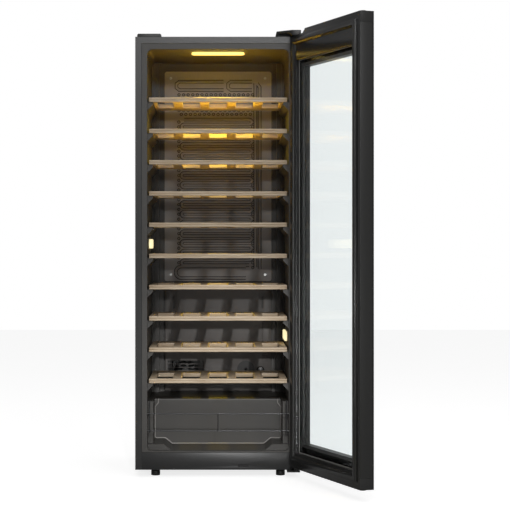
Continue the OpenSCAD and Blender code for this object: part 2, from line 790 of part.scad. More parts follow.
module hinge_screws() color(wire_grey) {
    for (p = top_screws) translate([p[0], p[1], top]) {
        translate([0, 0, 1 - screw_deep]) cylinder(h = screw_deep + plate3 - 1, r = hinge_screw_r);
        translate([0, 0, plate3]) cylinder(h = 3, r = 5);
    }
    for (p = low_screws) translate([p[0], p[1], low]) {
        translate([0, 0, -plate3]) cylinder(h = screw_deep + plate3 - 1, r = hinge_screw_r);
        translate([0, 0, -plate3 - 3]) cylinder(h = 3, r = 5);
    }
}

// ---- door, modelled closed and turned by door_pose()

// what is cut from the door's hinge corner so that it clears the hinge arm
module hinge_notch() {
    translate([door_x, door_y - outer_v, 0]) rotate([90, 0, 0]) mirror([0, 0, 1])
        linear_extrude(outer_v + 1)
            polygon([[1, notch_z], [-notch_s, notch_z],
                     [-notch_s - notch_ramp, door_top + eps], [-notch_s - notch_ramp, door_top + 20],
                     [1, door_top + 20]]);
}

module door_side_profiles() color(door_black) door_pose()
    for (s = [[0, 1], [door_w, -1]])
        difference() {
            union() {
                door_block(span(s, 0, skin_t), [0, outer_v], [door_low + cap_h, door_top - cap_h]);
                door_block(span(s, 0, profile_w), [frame_depth + 0.2, outer_v],
                           [door_low + cap_h, door_top - cap_h]);
            }
            door_block(span(s, profile_t, profile_w - profile_t),
                       [frame_depth + 0.2 + profile_t, outer_v - profile_t], [door_low, door_top]);
        }

// distances a and b from a door edge, as a growing pair
function span(s, a, b) = s[1] > 0 ? [s[0] + a, s[0] + b] : [s[0] - b, s[0] - a];

module end_cap(z0, z1, edge) {
    door_block([0, door_w], [frame_depth + 0.2, outer_v], [z0, z1]);
    door_block([0, door_w], [0, frame_depth + 1], edge);
    for (s = [[0, 1], [door_w, -1]]) {
        door_block(span(s, 0, skin_t), [0, frame_depth + 1], [z0, z1]);
        door_block(span(s, 2 * skin_t, profile_w - profile_t), [3 + gap, frame_depth + 1],
                   [z0 + (edge[0] == z0 ? 2 * skin_t : 0), z1 - (edge[1] == z1 ? 2 * skin_t : 0)]);
    }
}

module bush_spots() {
    for (x = [-pivot_x, pivot_x]) translate([x, pivot_y, 0]) children();
}

module door_top_cap() color(door_black) door_pose() difference() {
    end_cap(door_top - cap_h, door_top, [door_top - skin_t, door_top]);
    hinge_notch();
    translate([pivot_x, pivot_y, notch_z - bush_l]) cylinder(h = 2 * bush_l, r = bush_r);
    translate([-pivot_x, pivot_y, door_top - bush_l]) cylinder(h = 2 * bush_l, r = bush_r);
}

module door_bottom_cap() color(door_black) door_pose() difference() {
    end_cap(door_low, door_low + cap_h, [door_low, door_low + skin_t]);
    bush_spots() translate([0, 0, door_low - bush_l]) cylinder(h = 2 * bush_l, r = bush_r);
}

module outer_glass() color(pale_glass, 0.4) door_pose()
    door_block([0, door_w], [outer_v, door_t], [door_low, door_top]);

module inner_glass() color(pale_glass, 0.4) door_pose() for (v = [frame_depth + 0.2, mid_pane_v])
    door_block([pane_in, door_w - pane_in], [v, v + inner_pane_t], [door_low + pane_in, pane_top]);

module door_ring(v, outer, inner) {
    difference() {
        door_block([outer[0], door_w - outer[0]], v, [door_low + outer[1], door_top - outer[2]]);
        door_block([inner[0], door_w - inner[0]], [v[0] - 1, v[1] + 1],
                   [door_low + inner[1], door_top - inner[2]]);
    }
}

module glass_spacers() color(wire_grey) door_pose()
    for (v = [[frame_depth + 0.2 + inner_pane_t, mid_pane_v], [mid_pane_v + inner_pane_t, outer_v]])
        door_ring(v, [border_side - spacer_w, border_low - spacer_w, border_top - spacer_w],
                  [border_side, border_low, border_top]);

module door_inner_frame() color(door_black) door_pose() difference() {
    union() {
        door_ring([0, 3], [skin_t, skin_t, skin_t], [frame_side, frame_low, frame_top]);
        door_ring([2, frame_depth], [skin_t, skin_t, skin_t], [2 * skin_t, 2 * skin_t, 2 * skin_t]);
        door_ring([2, frame_depth], [frame_side - 3, frame_low - 3, frame_top - 3],
                  [frame_side, frame_low, frame_top]);
    }
    hinge_notch();
    bush_spots() translate([0, 0, door_low - 2 * bush_l]) cylinder(h = 3 * bush_l, r = bush_r + gap);
    bush_spots() translate([0, 0, notch_z - bush_l - 1]) cylinder(h = 3 * bush_l, r = bush_r + gap);
}

gasket_in = 20;
gasket_w = 24;
bulb_in = 4;

module door_gasket() color(black) door_pose() {
    base = [gasket_in, gasket_in, gasket_in];
    bulb = [for (b = base) b + bulb_in];
    door_ring([-2, 0], base, [for (b = base) b + gasket_w]);
    door_ring([gap - door_gap, -1.5], bulb, [for (b = bulb) b + gasket_w - 2 * bulb_in]);
}

module bush(z0) {
    translate([0, 0, z0]) difference() {
        cylinder(h = bush_l, r = bush_r);
        translate([0, 0, -1]) cylinder(h = bush_l + 2, r = pin_r + turn_fit);
    }
}

module door_bushes() color(wire_grey) door_pose() {
    translate([pivot_x, pivot_y, 0]) bush(notch_z - bush_l);
    translate([pivot_x, pivot_y, 0]) bush(door_low);
}

module touch_display() color(black) door_pose()
    door_block([door_w / 2 - 80, door_w / 2 + 80], [outer_v - 9, outer_v],
               [pane_top + 8, door_top - cap_h - 4]);

module hinge_hole_plugs() color(black) door_pose() {
    translate([-pivot_x, pivot_y, door_top - bush_l]) cylinder(h = bush_l, r = bush_r - 0.1);
    translate([-pivot_x, pivot_y, door_top]) cylinder(h = 2.2, r = bush_r + 2);
    translate([-pivot_x, pivot_y, door_low]) cylinder(h = bush_l, r = bush_r - 0.1);
    translate([-pivot_x, pivot_y, door_low - 2.2]) cylinder(h = 2.2, r = bush_r + 2);
}

// ---- feet and shelves

module foot(x, y) color(black) translate([x, y, 0]) {
    rotate_extrude() polygon([[0, 0], [foot_r - 2, 0], [foot_r, 2], [foot_r, foot_pad_h - 2],
                              [foot_r - 2, foot_pad_h], [0, foot_pad_h]]);
    cylinder(h = low - gap, r = stud_r + 4.3);
    cylinder(h = stud_top, r = stud_r);
}

module shelf(i) color(beech) translate([0, front + shelf_inset, shelf_z(i) - shelf_t / 2]) {
    x = shelf_w / 2;
    slats = [shelf_bar + glue_gap, shelf_d - shelf_plank - glue_gap];
    block([-x, 0, 0], [x, shelf_bar, shelf_t]);
    block([-x, shelf_d - shelf_plank, 0], [x, shelf_d, shelf_t]);
    both_sides() block([x - side_slat_w, slats[0], 0], [x, slats[1], shelf_t]);
    for (k = [-1.5 : 1 : 1.5]) translate([k * bottle_pitch, 0, 0])
        block([-slat_w / 2, slats[0], 0], [slat_w / 2, slats[1], shelf_t]);
}

side_panels();
top_panel();
back_panel();
base_plate();
plinth_panel();
bay_divider();
foam_insulation();
inner_liner();
evaporator_plate();
evaporator_screws();
air_cover();
fan_frame();
fan_rotor();
charcoal_filter();
temperature_probe();
ceiling_light();
side_lights();
bottle_guard();
guard_sockets();
compressor();
compressor_mounts();
starter_box();
condenser();
refrigerant_pipes();
filter_drier();
drain_tray();
drain_hose();
control_box();
machine_cover();
cord_gland();
top_hinge_bracket();
top_hinge_cover();
hinge_hole_cap();
bottom_hinge_bracket();
hinge_screws();
door_side_profiles();
door_top_cap();
door_bottom_cap();
outer_glass();
inner_glass();
glass_spacers();
door_inner_frame();
door_gasket();
door_bushes();
touch_display();
hinge_hole_plugs();
foot(-foot_x, foot_front_y);  // foot_front_left
foot(foot_x, foot_front_y);  // foot_front_right
foot(-foot_x, foot_rear_y);  // foot_rear_left
foot(foot_x, foot_rear_y);  // foot_rear_right
for (i = [0 : shelf_count - 1]) shelf(i);
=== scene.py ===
import json
import math

import bmesh
import bpy
from mathutils import Matrix, Vector


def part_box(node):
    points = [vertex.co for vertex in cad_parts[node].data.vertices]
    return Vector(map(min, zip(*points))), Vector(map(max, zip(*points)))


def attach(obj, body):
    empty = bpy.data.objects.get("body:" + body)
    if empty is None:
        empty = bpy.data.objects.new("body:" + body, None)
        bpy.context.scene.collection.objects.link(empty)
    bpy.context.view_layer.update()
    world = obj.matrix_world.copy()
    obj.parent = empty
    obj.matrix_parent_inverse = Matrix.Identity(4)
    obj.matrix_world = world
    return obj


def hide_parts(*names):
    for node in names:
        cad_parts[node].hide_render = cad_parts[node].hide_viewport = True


bl_info = {
    "name": "Wine Cooler Finishes",
    "version": (1, 0, 0),
    "blender": (4, 5, 0),
    "location": "3D View > Sidebar > Cooler",
    "description": "Dresses the framed wine cooler: wood shelves, glazing, gasket, lights and finishes",
    "category": "Object",
}

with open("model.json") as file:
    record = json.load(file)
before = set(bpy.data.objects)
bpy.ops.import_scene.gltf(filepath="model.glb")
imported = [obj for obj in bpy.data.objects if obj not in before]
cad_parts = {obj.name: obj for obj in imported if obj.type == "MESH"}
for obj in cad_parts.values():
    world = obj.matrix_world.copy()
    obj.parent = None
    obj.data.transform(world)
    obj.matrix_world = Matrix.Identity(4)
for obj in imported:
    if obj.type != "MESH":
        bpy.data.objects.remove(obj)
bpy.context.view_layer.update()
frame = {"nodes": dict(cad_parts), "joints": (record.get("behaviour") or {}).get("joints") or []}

MM = 0.001
SHELVES = sorted(n for n in frame["nodes"] if n.startswith("shelf_"))
FEET = sorted(n for n in frame["nodes"] if n.startswith("foot_"))


def corners(node):
    """Lowest and highest corner of a CAD node, as vectors."""
    low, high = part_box(node)
    return Vector(low), Vector(high)


CASE_LOW, CASE_HIGH = corners("side_panels")
LINER_LOW, LINER_HIGH = corners("inner_liner")
DOOR_JOINT = next(j for j in frame["joints"] if j["name"] == "door_hinge")
DOOR_TURN = math.radians(-DOOR_JOINT["range_deg"][0])
PIVOT = Vector(DOOR_JOINT["pos_m"])
DOOR_POSE = Matrix.Translation(PIVOT) @ Matrix.Rotation(DOOR_TURN, 4, "Z") @ Matrix.Translation(-PIVOT)


# ---------------------------------------------------------------- settings

def length(name, about, default, low, high):
    """A length in metres that the user may change."""
    return bpy.props.FloatProperty(name=name, description=about, default=default, min=low, max=high,
                                   unit="LENGTH")


def power(name, about, default, high):
    """A light's power in watts."""
    return bpy.props.FloatProperty(name=name, description=about, default=default, min=0.0, max=high,
                                   unit="POWER")


def colour(name, about, default):
    """A linear colour."""
    return bpy.props.FloatVectorProperty(name=name, description=about, default=default, min=0.0, max=1.0,
                                         size=3, subtype="COLOR")


def brightness(name, about, default, high):
    """A plain factor on the surround."""
    return bpy.props.FloatProperty(name=name, description=about, default=default, min=0.0, max=high,
                                   subtype="FACTOR")


class CaseSettings(bpy.types.PropertyGroup):
    sheet_round: length("Sheet edge rounding", "Rounding on the folded sheet metal", 0.0004, 0.0, 0.0005)
    trim_round: length("Trim rounding", "Rounding on the cap over the unused hinge holes",
                       0.0028, 0.0002, 0.004)
    channel_width: length("Channel width", "Width of a refrigerant channel in the evaporator",
                          0.0088, 0.004, 0.012)
    channel_pitch: length("Channel pitch", "Distance between neighbouring channels", 0.0174, 0.012, 0.03)
    channel_rise: length("Channel rise", "How far a channel stands out of the plate", 0.0022, 0.0005, 0.004)


class ShelfSettings(bpy.types.PropertyGroup):
    bar_depth: length("Front bar depth", "Depth of the front bar", 0.028, 0.02, 0.04)
    plank_depth: length("Rear plank depth", "Depth of the rear plank", 0.1, 0.06, 0.12)
    slat_width: length("Slat width", "Width of a slat", 0.0308, 0.02, 0.04)
    side_width: length("Side slat width", "Width of a side slat", 0.022, 0.015, 0.03)
    slat_pitch: length("Slat pitch", "Distance between neighbouring slats", 0.091, 0.08, 0.095)
    edge_round: length("Edge rounding", "Rounding on the wood's edges", 0.0014, 0.0002, 0.004)
    wood: colour("Wood colour", "Colour of the beech", (0.57, 0.47, 0.345))


class DoorSettings(bpy.types.PropertyGroup):
    border_side: length("Border at the sides", "Width of the black enamelled border", 0.071, 0.03, 0.1)
    border_top: length("Border at the top", "Height of the black enamelled border", 0.118, 0.05, 0.15)
    border_low: length("Border at the bottom", "Height of the black enamelled border", 0.084, 0.05, 0.12)
    gasket_in: length("Gasket inset", "Distance of the gasket from the door's edge", 0.02, 0.01, 0.03)
    edge_round: length("Edge rounding", "Rounding on the door's profiles and caps", 0.0012, 0.0002, 0.003)


class LightSettings(bpy.types.PropertyGroup):
    lamp_power: power("Lamp power", "Power of the lamp in the ceiling of the cavity", 5.0, 20.0)
    lamp_colour: colour("Lamp colour", "Colour of the lamp in the ceiling of the cavity", (1.0, 0.7, 0.015))
    key_power: power("Key light power", "Power of the light in front of the cooler", 40.0, 5000.0)
    low_power: power("Low spot power", "Power of the spot on the lower half", 520.0, 5000.0)
    soft_power: power("Softbox power", "Power of the softbox at the front right", 13.0, 500.0)
    over_power: power("Overhead power", "Power of the softbox over the cooler", 60.0, 1000.0)
    sky: brightness("Surround brightness", "Brightness of the white surround that is seen", 1.0, 3.0)
    sky_fill: brightness("Surround fill", "How much light the surround throws on the cooler", 0.3, 2.0)


SETTINGS = {"cooler_case": CaseSettings, "cooler_shelves": ShelfSettings, "cooler_door": DoorSettings,
            "cooler_light": LightSettings}


# ---------------------------------------------------------------- material tools

def linear(hex_colour):
    """An sRGB hex colour as linear RGBA."""
    parts = [int(hex_colour[i:i + 2], 16) / 255 for i in (1, 3, 5)]
    return tuple(p / 12.92 if p <= 0.04045 else ((p + 0.055) / 1.055) ** 2.4 for p in parts) + (1.0,)


def add(tree, kind, links=None, **settings):
    """Adds a node: settings set its properties, links set or join its inputs by name or number."""
    made = tree.nodes.new(kind)
    for key, value in settings.items():
        setattr(made, key, value)
    for key, value in (links or {}).items():
        if isinstance(value, bpy.types.NodeSocket):
            tree.links.new(value, made.inputs[key])
        else:
            made.inputs[key].default_value = value
    return made


MATERIALS = {}


def blank(name):
    """A new material with an empty node tree, kept in MATERIALS."""
    mat = bpy.data.materials.new(name)
    mat.use_nodes = True
    mat.node_tree.nodes.clear()
    MATERIALS[name] = mat
    return mat, mat.node_tree


def moulded(name, colour, rough, metallic=0.0, grain_mm=0.6, depth_mm=0.02, vary=0.12, blotch_mm=90.0,
            stretch=(1.0, 1.0, 1.0), glow=None):
    """A surface with its own fine grain as bump, a slow drift of tone and uneven gloss.
    grain_mm is the size of the grain, blotch_mm that of the drift, both on the real object."""
    if name in MATERIALS:
        return MATERIALS[name]
    mat, tree = blank(name)
    base = linear(colour)
    shader_inputs = {"Base Color": base, "Metallic": metallic, "Roughness": rough}
    if metallic == 0.0:
        shader_inputs["IOR"] = 1.5
    if glow:
        shader_inputs["Emission Color"] = linear(glow[0])
        shader_inputs["Emission Strength"] = glow[1]
    shader = add(tree, "ShaderNodeBsdfPrincipled", shader_inputs)
    spot = add(tree, "ShaderNodeTexCoord")
    place = add(tree, "ShaderNodeMapping", {"Vector": spot.outputs["Object"], "Scale": stretch})
    grain = add(tree, "ShaderNodeTexNoise",
                {"Vector": place.outputs[0], "Scale": 1.0 / (grain_mm * MM), "Detail": 2.0})
    drift = add(tree, "ShaderNodeTexNoise",
                {"Vector": place.outputs[0], "Scale": 1.0 / (blotch_mm * MM), "Detail": 3.0})
    tone = add(tree, "ShaderNodeMapRange", {"Value": drift.outputs[0], 1: 0.3, 2: 0.7,
                                            3: 1.0 - vary, 4: 1.0 + vary})
    tint = add(tree, "ShaderNodeMix", {0: 1.0, 6: base, 7: tone.outputs[0]},
               data_type="RGBA", blend_type="MULTIPLY", clamp_result=True)
    gloss = add(tree, "ShaderNodeMapRange", {"Value": grain.outputs[0], 1: 0.3, 2: 0.7,
                                             3: max(0.02, rough - 0.05), 4: min(1.0, rough + 0.06)})
    bump = add(tree, "ShaderNodeBump", {"Strength": 0.6, "Distance": depth_mm * MM,
                                        "Height": grain.outputs[0]})
    tree.links.new(tint.outputs[2], shader.inputs["Base Color"])
    tree.links.new(gloss.outputs[0], shader.inputs["Roughness"])
    tree.links.new(bump.outputs[0], shader.inputs["Normal"])
    add(tree, "ShaderNodeOutputMaterial", {"Surface": shader.outputs[0]})
    return mat


def beech(name, colour, along):
    """Oiled beech: fine pores and growth lines along the grain and the short darker flecks of its rays.
    The lines are about 5 mm apart and the flecks 3 mm long."""
    if name in MATERIALS:
        return MATERIALS[name]
    mat, tree = blank(name)
    light = tuple(colour) + (1.0,)
    dark = tuple(c * k for c, k in zip(colour, (0.66, 0.58, 0.5))) + (1.0,)
    long_way = {"X": (0.06, 1.0, 1.0), "Y": (1.0, 0.06, 1.0)}[along]
    fleck_way = {"X": (0.25, 1.0, 1.0), "Y": (1.0, 0.25, 1.0)}[along]
    spot = add(tree, "ShaderNodeTexCoord")
    place = add(tree, "ShaderNodeMapping", {"Vector": spot.outputs["Object"], "Scale": long_way})
    lines = add(tree, "ShaderNodeTexNoise", {"Vector": place.outputs[0], "Scale": 1.0 / (5.0 * MM),
                                             "Detail": 5.0, "Roughness": 0.65, "Distortion": 0.4})
    ramp = add(tree, "ShaderNodeValToRGB", {"Fac": lines.outputs[0]})
    ramp.color_ramp.elements[0].position = 0.32
    ramp.color_ramp.elements[0].color = dark
    ramp.color_ramp.elements[1].position = 0.62
    ramp.color_ramp.elements[1].color = light
    ray_place = add(tree, "ShaderNodeMapping", {"Vector": spot.outputs["Object"], "Scale": fleck_way})
    rays = add(tree, "ShaderNodeTexNoise", {"Vector": ray_place.outputs[0], "Scale": 1.0 / (0.9 * MM),
                                            "Detail": 1.0})
    ray_mask = add(tree, "ShaderNodeMapRange", {"Value": rays.outputs[0], 1: 0.6, 2: 0.72, 3: 0.0, 4: 0.35})
    shade = add(tree, "ShaderNodeMix", {0: ray_mask.outputs[0], 6: ramp.outputs[0], 7: dark},
                data_type="RGBA")
    bump = add(tree, "ShaderNodeBump", {"Strength": 0.5, "Distance": 0.05 * MM, "Height": lines.outputs[0]})
    shader = add(tree, "ShaderNodeBsdfPrincipled",
                 {"Base Color": shade.outputs[2], "Roughness": 0.52, "IOR": 1.5,
                  "Normal": bump.outputs[0]})
    add(tree, "ShaderNodeOutputMaterial", {"Surface": shader.outputs[0]})
    return mat


def float_glass():
    """Clear float glass, almost without tint."""
    name = "clear_float_glass"
    if name in MATERIALS:
        return MATERIALS[name]
    mat, tree = blank(name)
    spot = add(tree, "ShaderNodeTexCoord")
    wave = add(tree, "ShaderNodeTexNoise", {"Vector": spot.outputs["Object"], "Scale": 4.0, "Detail": 1.0})
    bump = add(tree, "ShaderNodeBump", {"Strength": 0.05, "Distance": 0.1 * MM, "Height": wave.outputs[0]})
    shader = add(tree, "ShaderNodeBsdfPrincipled",
                 {"Base Color": linear("#fbfdfd"), "Roughness": 0.0, "IOR": 1.08,
                  "Transmission Weight": 1.0, "Normal": bump.outputs[0]})
    add(tree, "ShaderNodeOutputMaterial", {"Surface": shader.outputs[0]})
    return mat


def seen_directly(tree):
    """A node that is 1 for rays from the camera, also through glass, and 0 for all other rays."""
    path = add(tree, "ShaderNodeLightPath")
    return add(tree, "ShaderNodeMath", {0: path.outputs["Is Camera Ray"],
                                        1: path.outputs["Is Transmission Ray"]}, operation="MAXIMUM")


def light_table(name, strength):
    """The stage's floor: a matte white board, lit from below where it is looked at."""
    mat = moulded(name, "#a8a8a8", 0.9, grain_mm=6.0, depth_mm=0.02, vary=0.01, blotch_mm=900.0)
    tree = mat.node_tree
    shader = next(n for n in tree.nodes if n.type == "BSDF_PRINCIPLED")
    seen = seen_directly(tree)
    glow = add(tree, "ShaderNodeMath", {0: seen.outputs[0], 1: 0.8 * strength}, operation="MULTIPLY")
    shader.inputs["Emission Color"].default_value = (1, 1, 1, 1)
    tree.links.new(glow.outputs[0], shader.inputs["Emission Strength"])
    return mat


# what each finish is, and what that gives the eye; every one but wood and glass is made by moulded()
FINISHES = {
    # baked powder coat over sheet steel: a fine pebble that breaks up highlights
    "powder_coated_steel": dict(colour="#272727", rough=0.33, grain_mm=1.6, depth_mm=0.03, vary=0.05,
                                blotch_mm=160.0),
    # vacuum-formed polystyrene: soft corners, low gloss, slight waviness
    "vacuum_formed_polystyrene": dict(colour="#3d3b38", rough=0.46, grain_mm=2.2, depth_mm=0.03,
                                      vary=0.08, blotch_mm=120.0),
    # the same sheet on the rounded fillet round the step, much paler as a painted highlight, and glossier
    "painted_highlight_fillet": dict(colour="#a5a29e", rough=0.28, grain_mm=2.2, depth_mm=0.01, vary=0.06),
    # lacquered roll-bond aluminium: mid grey, matte, with a short drawn grain
    "lacquered_aluminium": dict(colour="#8d8986", rough=0.5, metallic=0.15, grain_mm=1.2, depth_mm=0.015,
                                vary=0.1, stretch=(0.2, 1.0, 1.0)),
    # painted shade: near-black for the crease where a channel meets the plate and round each dome, where
    # shade falls;
    #     it also paints the shade in the recess behind the slot in the plinth
    "painted_shade": dict(colour="#0e0e0d", rough=0.6, grain_mm=1.2, depth_mm=0.015, vary=0.1),
    # injection-moulded ABS with a spark-eroded texture: grey for the air cover, black for small parts
    "grey_abs": dict(colour="#55514e", rough=0.5, grain_mm=0.9, depth_mm=0.03, vary=0.06),
    "black_abs": dict(colour="#1d1d1c", rough=0.38, grain_mm=0.8, depth_mm=0.025, vary=0.06),
    # co-extruded door profile: darker and glossier than the covers
    "extruded_abs": dict(colour="#242423", rough=0.38, grain_mm=1.4, depth_mm=0.015, vary=0.05,
                         stretch=(1.0, 1.0, 0.1)),
    # polished ABS frame round the panes
    "gloss_abs": dict(colour="#20201f", rough=0.17, grain_mm=3.0, depth_mm=0.006, vary=0.04),
    # soft PVC of the magnetic seal: black, smooth from its die
    "soft_pvc": dict(colour="#232322", rough=0.2, grain_mm=1.2, depth_mm=0.03, vary=0.1),
    # zinc-plated steel: pale, slightly mottled
    "zinc_plated_steel": dict(colour="#b9bbb8", rough=0.3, metallic=1.0, grain_mm=0.8, depth_mm=0.01,
                              vary=0.1, blotch_mm=12.0),
    # plated steel wire: thin, dark and sharp in its highlights
    "chromed_wire": dict(colour="#48484a", rough=0.3, metallic=1.0, grain_mm=0.5, depth_mm=0.004,
                         vary=0.03),
    # opal polycarbonate lit from behind: warm in the ceiling, nearly white at the sides
    "opal_polycarbonate": dict(colour="#fff0cc", rough=0.35, grain_mm=1.0, depth_mm=0.01, vary=0.02,
                               glow=("#ffe67a", 1.3)),
    "opal_polycarbonate_dim": dict(colour="#fff0cc", rough=0.35, grain_mm=1.0, depth_mm=0.01, vary=0.02,
                                   glow=("#fff0bc", 1.0)),
    # foamed polyurethane: pale yellow, matte and full of small cells
    "polyurethane_foam": dict(colour="#e6dcb8", rough=0.9, grain_mm=0.8, depth_mm=0.2, vary=0.12),
    # drawn copper tube: warm metal with darker patches where it was brazed
    "copper_tube": dict(colour="#b5713f", rough=0.28, metallic=1.0, grain_mm=0.7, depth_mm=0.008,
                        vary=0.15, blotch_mm=15.0),
    # stoved black enamel on the compressor and the condenser: dark, with a soft gloss
    "black_enamel": dict(colour="#151515", rough=0.3, grain_mm=1.8, depth_mm=0.03, vary=0.05),
    # moulded rubber: nearly black and quite matte
    "moulded_rubber": dict(colour="#1a1a19", rough=0.75, grain_mm=1.0, depth_mm=0.05, vary=0.1),
    # enamel fired onto the border of the outer pane: even, glossy and very dark
    "fired_enamel": dict(colour="#1b1b1a", rough=0.16, grain_mm=4.0, depth_mm=0.003, vary=0.03),
    # moulded case of the charcoal filter: dark grey and matte
    "activated_charcoal_case": dict(colour="#2e2d2c", rough=0.6, grain_mm=0.8, depth_mm=0.05, vary=0.08),
    # warm-edge spacer between the panes: dark grey with a dull metal sheen
    "warm_edge_spacer": dict(colour="#3a3a39", rough=0.45, metallic=0.3, grain_mm=0.8, depth_mm=0.02,
                             vary=0.05),
    # vinyl bead round the inner pane: a thin pale line
    "glazing_bead": dict(colour="#8b8b88", rough=0.4, grain_mm=0.8, depth_mm=0.01, vary=0.05),
    # lit figures behind the outer pane: cold white
    "glowing_segments": dict(colour="#e8f4ff", rough=0.3, grain_mm=1.0, depth_mm=0.005, vary=0.02,
                             glow=("#cfe8ff", 3.0)),
}


def finishes():
    """Every finish on the cooler but its wood and glass, by the name of what it is."""
    return {name: moulded(name, **look) for name, look in FINISHES.items()}


# ---------------------------------------------------------------- mesh tools

def linked(name, data):
    """A new object in the scene."""
    made = bpy.data.objects.new(name, data)
    bpy.context.scene.collection.objects.link(made)
    return made


def beam(bm, low, high, rounding=0.0, material=0):
    """Adds a box with rounded edges between two opposite corners."""
    low, high = Vector(map(min, low, high)), Vector(map(max, low, high))
    made = bmesh.ops.create_cube(bm, size=1.0)["verts"]
    for v in made:
        v.co = Vector([low[i] if v.co[i] < 0 else high[i] for i in range(3)])
    faces = {f for v in made for f in v.link_faces}
    if rounding > 0:
        edges = list({e for f in faces for e in f.edges})
        faces |= set(bmesh.ops.bevel(bm, geom=edges, offset=rounding, segments=2, profile=0.5,
                                     affect="EDGES")["faces"])
    for f in faces:
        if f.is_valid:
            f.material_index = material


def prism(bm, outline, start, end, axis=1):
    """Adds an outline of 2D points as a solid between start and end along an axis."""
    def spot(p, t):
        co = [p[0], p[1]]
        co.insert(axis, t)
        return bm.verts.new(co)
    near = [spot(p, start) for p in outline]
    far = [spot(p, end) for p in outline]
    bm.faces.new(near)
    bm.faces.new(list(reversed(far)))
    n = len(outline)
    for i in range(n):
        bm.faces.new((near[i], far[i], far[(i + 1) % n], near[(i + 1) % n]))


def rounded(x0, z0, x1, z1, r, steps=6):
    """The outline of a rectangle with round corners."""
    points = []
    for cx, cz, start in ((x1 - r, z1 - r, 0), (x0 + r, z1 - r, 90), (x0 + r, z0 + r, 180),
                          (x1 - r, z0 + r, 270)):
        for i in range(steps + 1):
            a = math.radians(start + 90 * i / steps)
            points.append((cx + r * math.cos(a), cz + r * math.sin(a)))
    return points


def lathe(bm, profile, centre, steps):
    """Turns a profile of (radius, height) about the vertical through centre, from radius 0 to radius 0."""
    rings = []
    for r, z in profile:
        if r < 1e-9:
            rings.append([bm.verts.new((centre[0], centre[1], centre[2] + z))])
        else:
            rings.append([bm.verts.new((centre[0] + r * math.cos(2 * math.pi * k / steps),
                                        centre[1] + r * math.sin(2 * math.pi * k / steps),
                                        centre[2] + z)) for k in range(steps)])
    for a, b in zip(rings, rings[1:]):
        for k in range(steps):
            m = (k + 1) % steps
            if len(a) == 1:
                face = (a[0], b[m], b[k])
            elif len(b) == 1:
                face = (a[k], a[m], b[0])
            else:
                face = (a[k], a[m], b[m], b[k])
            bm.faces.new(face)


def to_mesh(bm, name):
    """The mesh of a bmesh, its faces pointing outwards."""
    bmesh.ops.recalc_face_normals(bm, faces=bm.faces)
    mesh = bpy.data.meshes.new(name)
    bm.to_mesh(mesh)
    bm.free()
    return mesh


def place(name, mesh, body, slot, materials, angle=35.0, replaces=()):
    """Makes a finished piece: smooth where it is round, riding on its body."""
    for mat in materials:
        mesh.materials.append(mat)
    mesh.polygons.foreach_set("use_smooth", [True] * len(mesh.polygons))
    mesh.set_sharp_from_angle(angle=math.radians(angle))
    piece = linked(name, mesh)
    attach(piece, body)
    if replaces:
        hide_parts(*replaces)


def settle(piece):
    """Turns a piece with modifiers into a plain mesh."""
    bpy.context.view_layer.update()
    done = bpy.data.meshes.new_from_object(piece.evaluated_get(bpy.context.evaluated_depsgraph_get()))
    bpy.data.objects.remove(piece)
    return done


def softened(node, body, slot, material, rounding, segments):
    """A copy of a CAD node with its edges rounded, in place of the node."""
    bm = bmesh.new()
    bm.from_mesh(frame["nodes"][node].data)
    bmesh.ops.remove_doubles(bm, verts=bm.verts, dist=2e-6)
    bmesh.ops.dissolve_limit(bm, angle_limit=math.radians(0.5), verts=bm.verts, edges=bm.edges)
    mesh = bpy.data.meshes.new(node)
    bm.to_mesh(mesh)
    bm.free()
    rough = linked(node + "_rough", mesh)
    bevel = rough.modifiers.new("edges", "BEVEL")
    bevel.width = rounding
    bevel.segments = segments
    bevel.limit_method = "ANGLE"
    bevel.angle_limit = math.radians(35)
    bevel.use_clamp_overlap = True
    done = settle(rough)
    done.materials.clear()
    place(node + "_finished", done, body, slot, [material], replaces=[node])


# ---------------------------------------------------------------- geometry node trees

TREES = {}


def started(name, inputs):
    """A new tree with a geometry and the named inputs going in and a geometry coming out."""
    tree = bpy.data.node_groups.new(name, "GeometryNodeTree")
    tree.interface.new_socket("Geometry", in_out="INPUT", socket_type="NodeSocketGeometry")
    for socket, kind, value in inputs + [("Finish", "NodeSocketMaterial", None)]:
        made = tree.interface.new_socket(socket, in_out="INPUT", socket_type=kind)
        if value is not None:
            made.default_value = value
    tree.interface.new_socket("Geometry", in_out="OUTPUT", socket_type="NodeSocketGeometry")
    return tree, add(tree, "NodeGroupInput").outputs


def ended(tree, given, made):
    """Ends a tree: what was made becomes plain geometry with the finish given."""
    real = add(tree, "GeometryNodeRealizeInstances", {0: made.outputs[0]})
    coat = add(tree, "GeometryNodeSetMaterial", {"Geometry": real.outputs[0], "Material": given["Finish"]})
    add(tree, "NodeGroupOutput", {0: coat.outputs[0]})
    return tree


def row_tree():
    """Repeats the geometry given along a line."""
    tree, given = started("Row of copies", [("Count", "NodeSocketInt", 4),
                                            ("Start", "NodeSocketVector", (0, 0, 0)),
                                            ("Step", "NodeSocketVector", (0.1, 0, 0))])
    line = add(tree, "GeometryNodeMeshLine", {"Count": given["Count"], "Start Location": given["Start"],
                                              "Offset": given["Step"]})
    copies = add(tree, "GeometryNodeInstanceOnPoints", {"Points": line.outputs[0],
                                                        "Instance": given["Geometry"]})
    return ended(tree, given, copies)


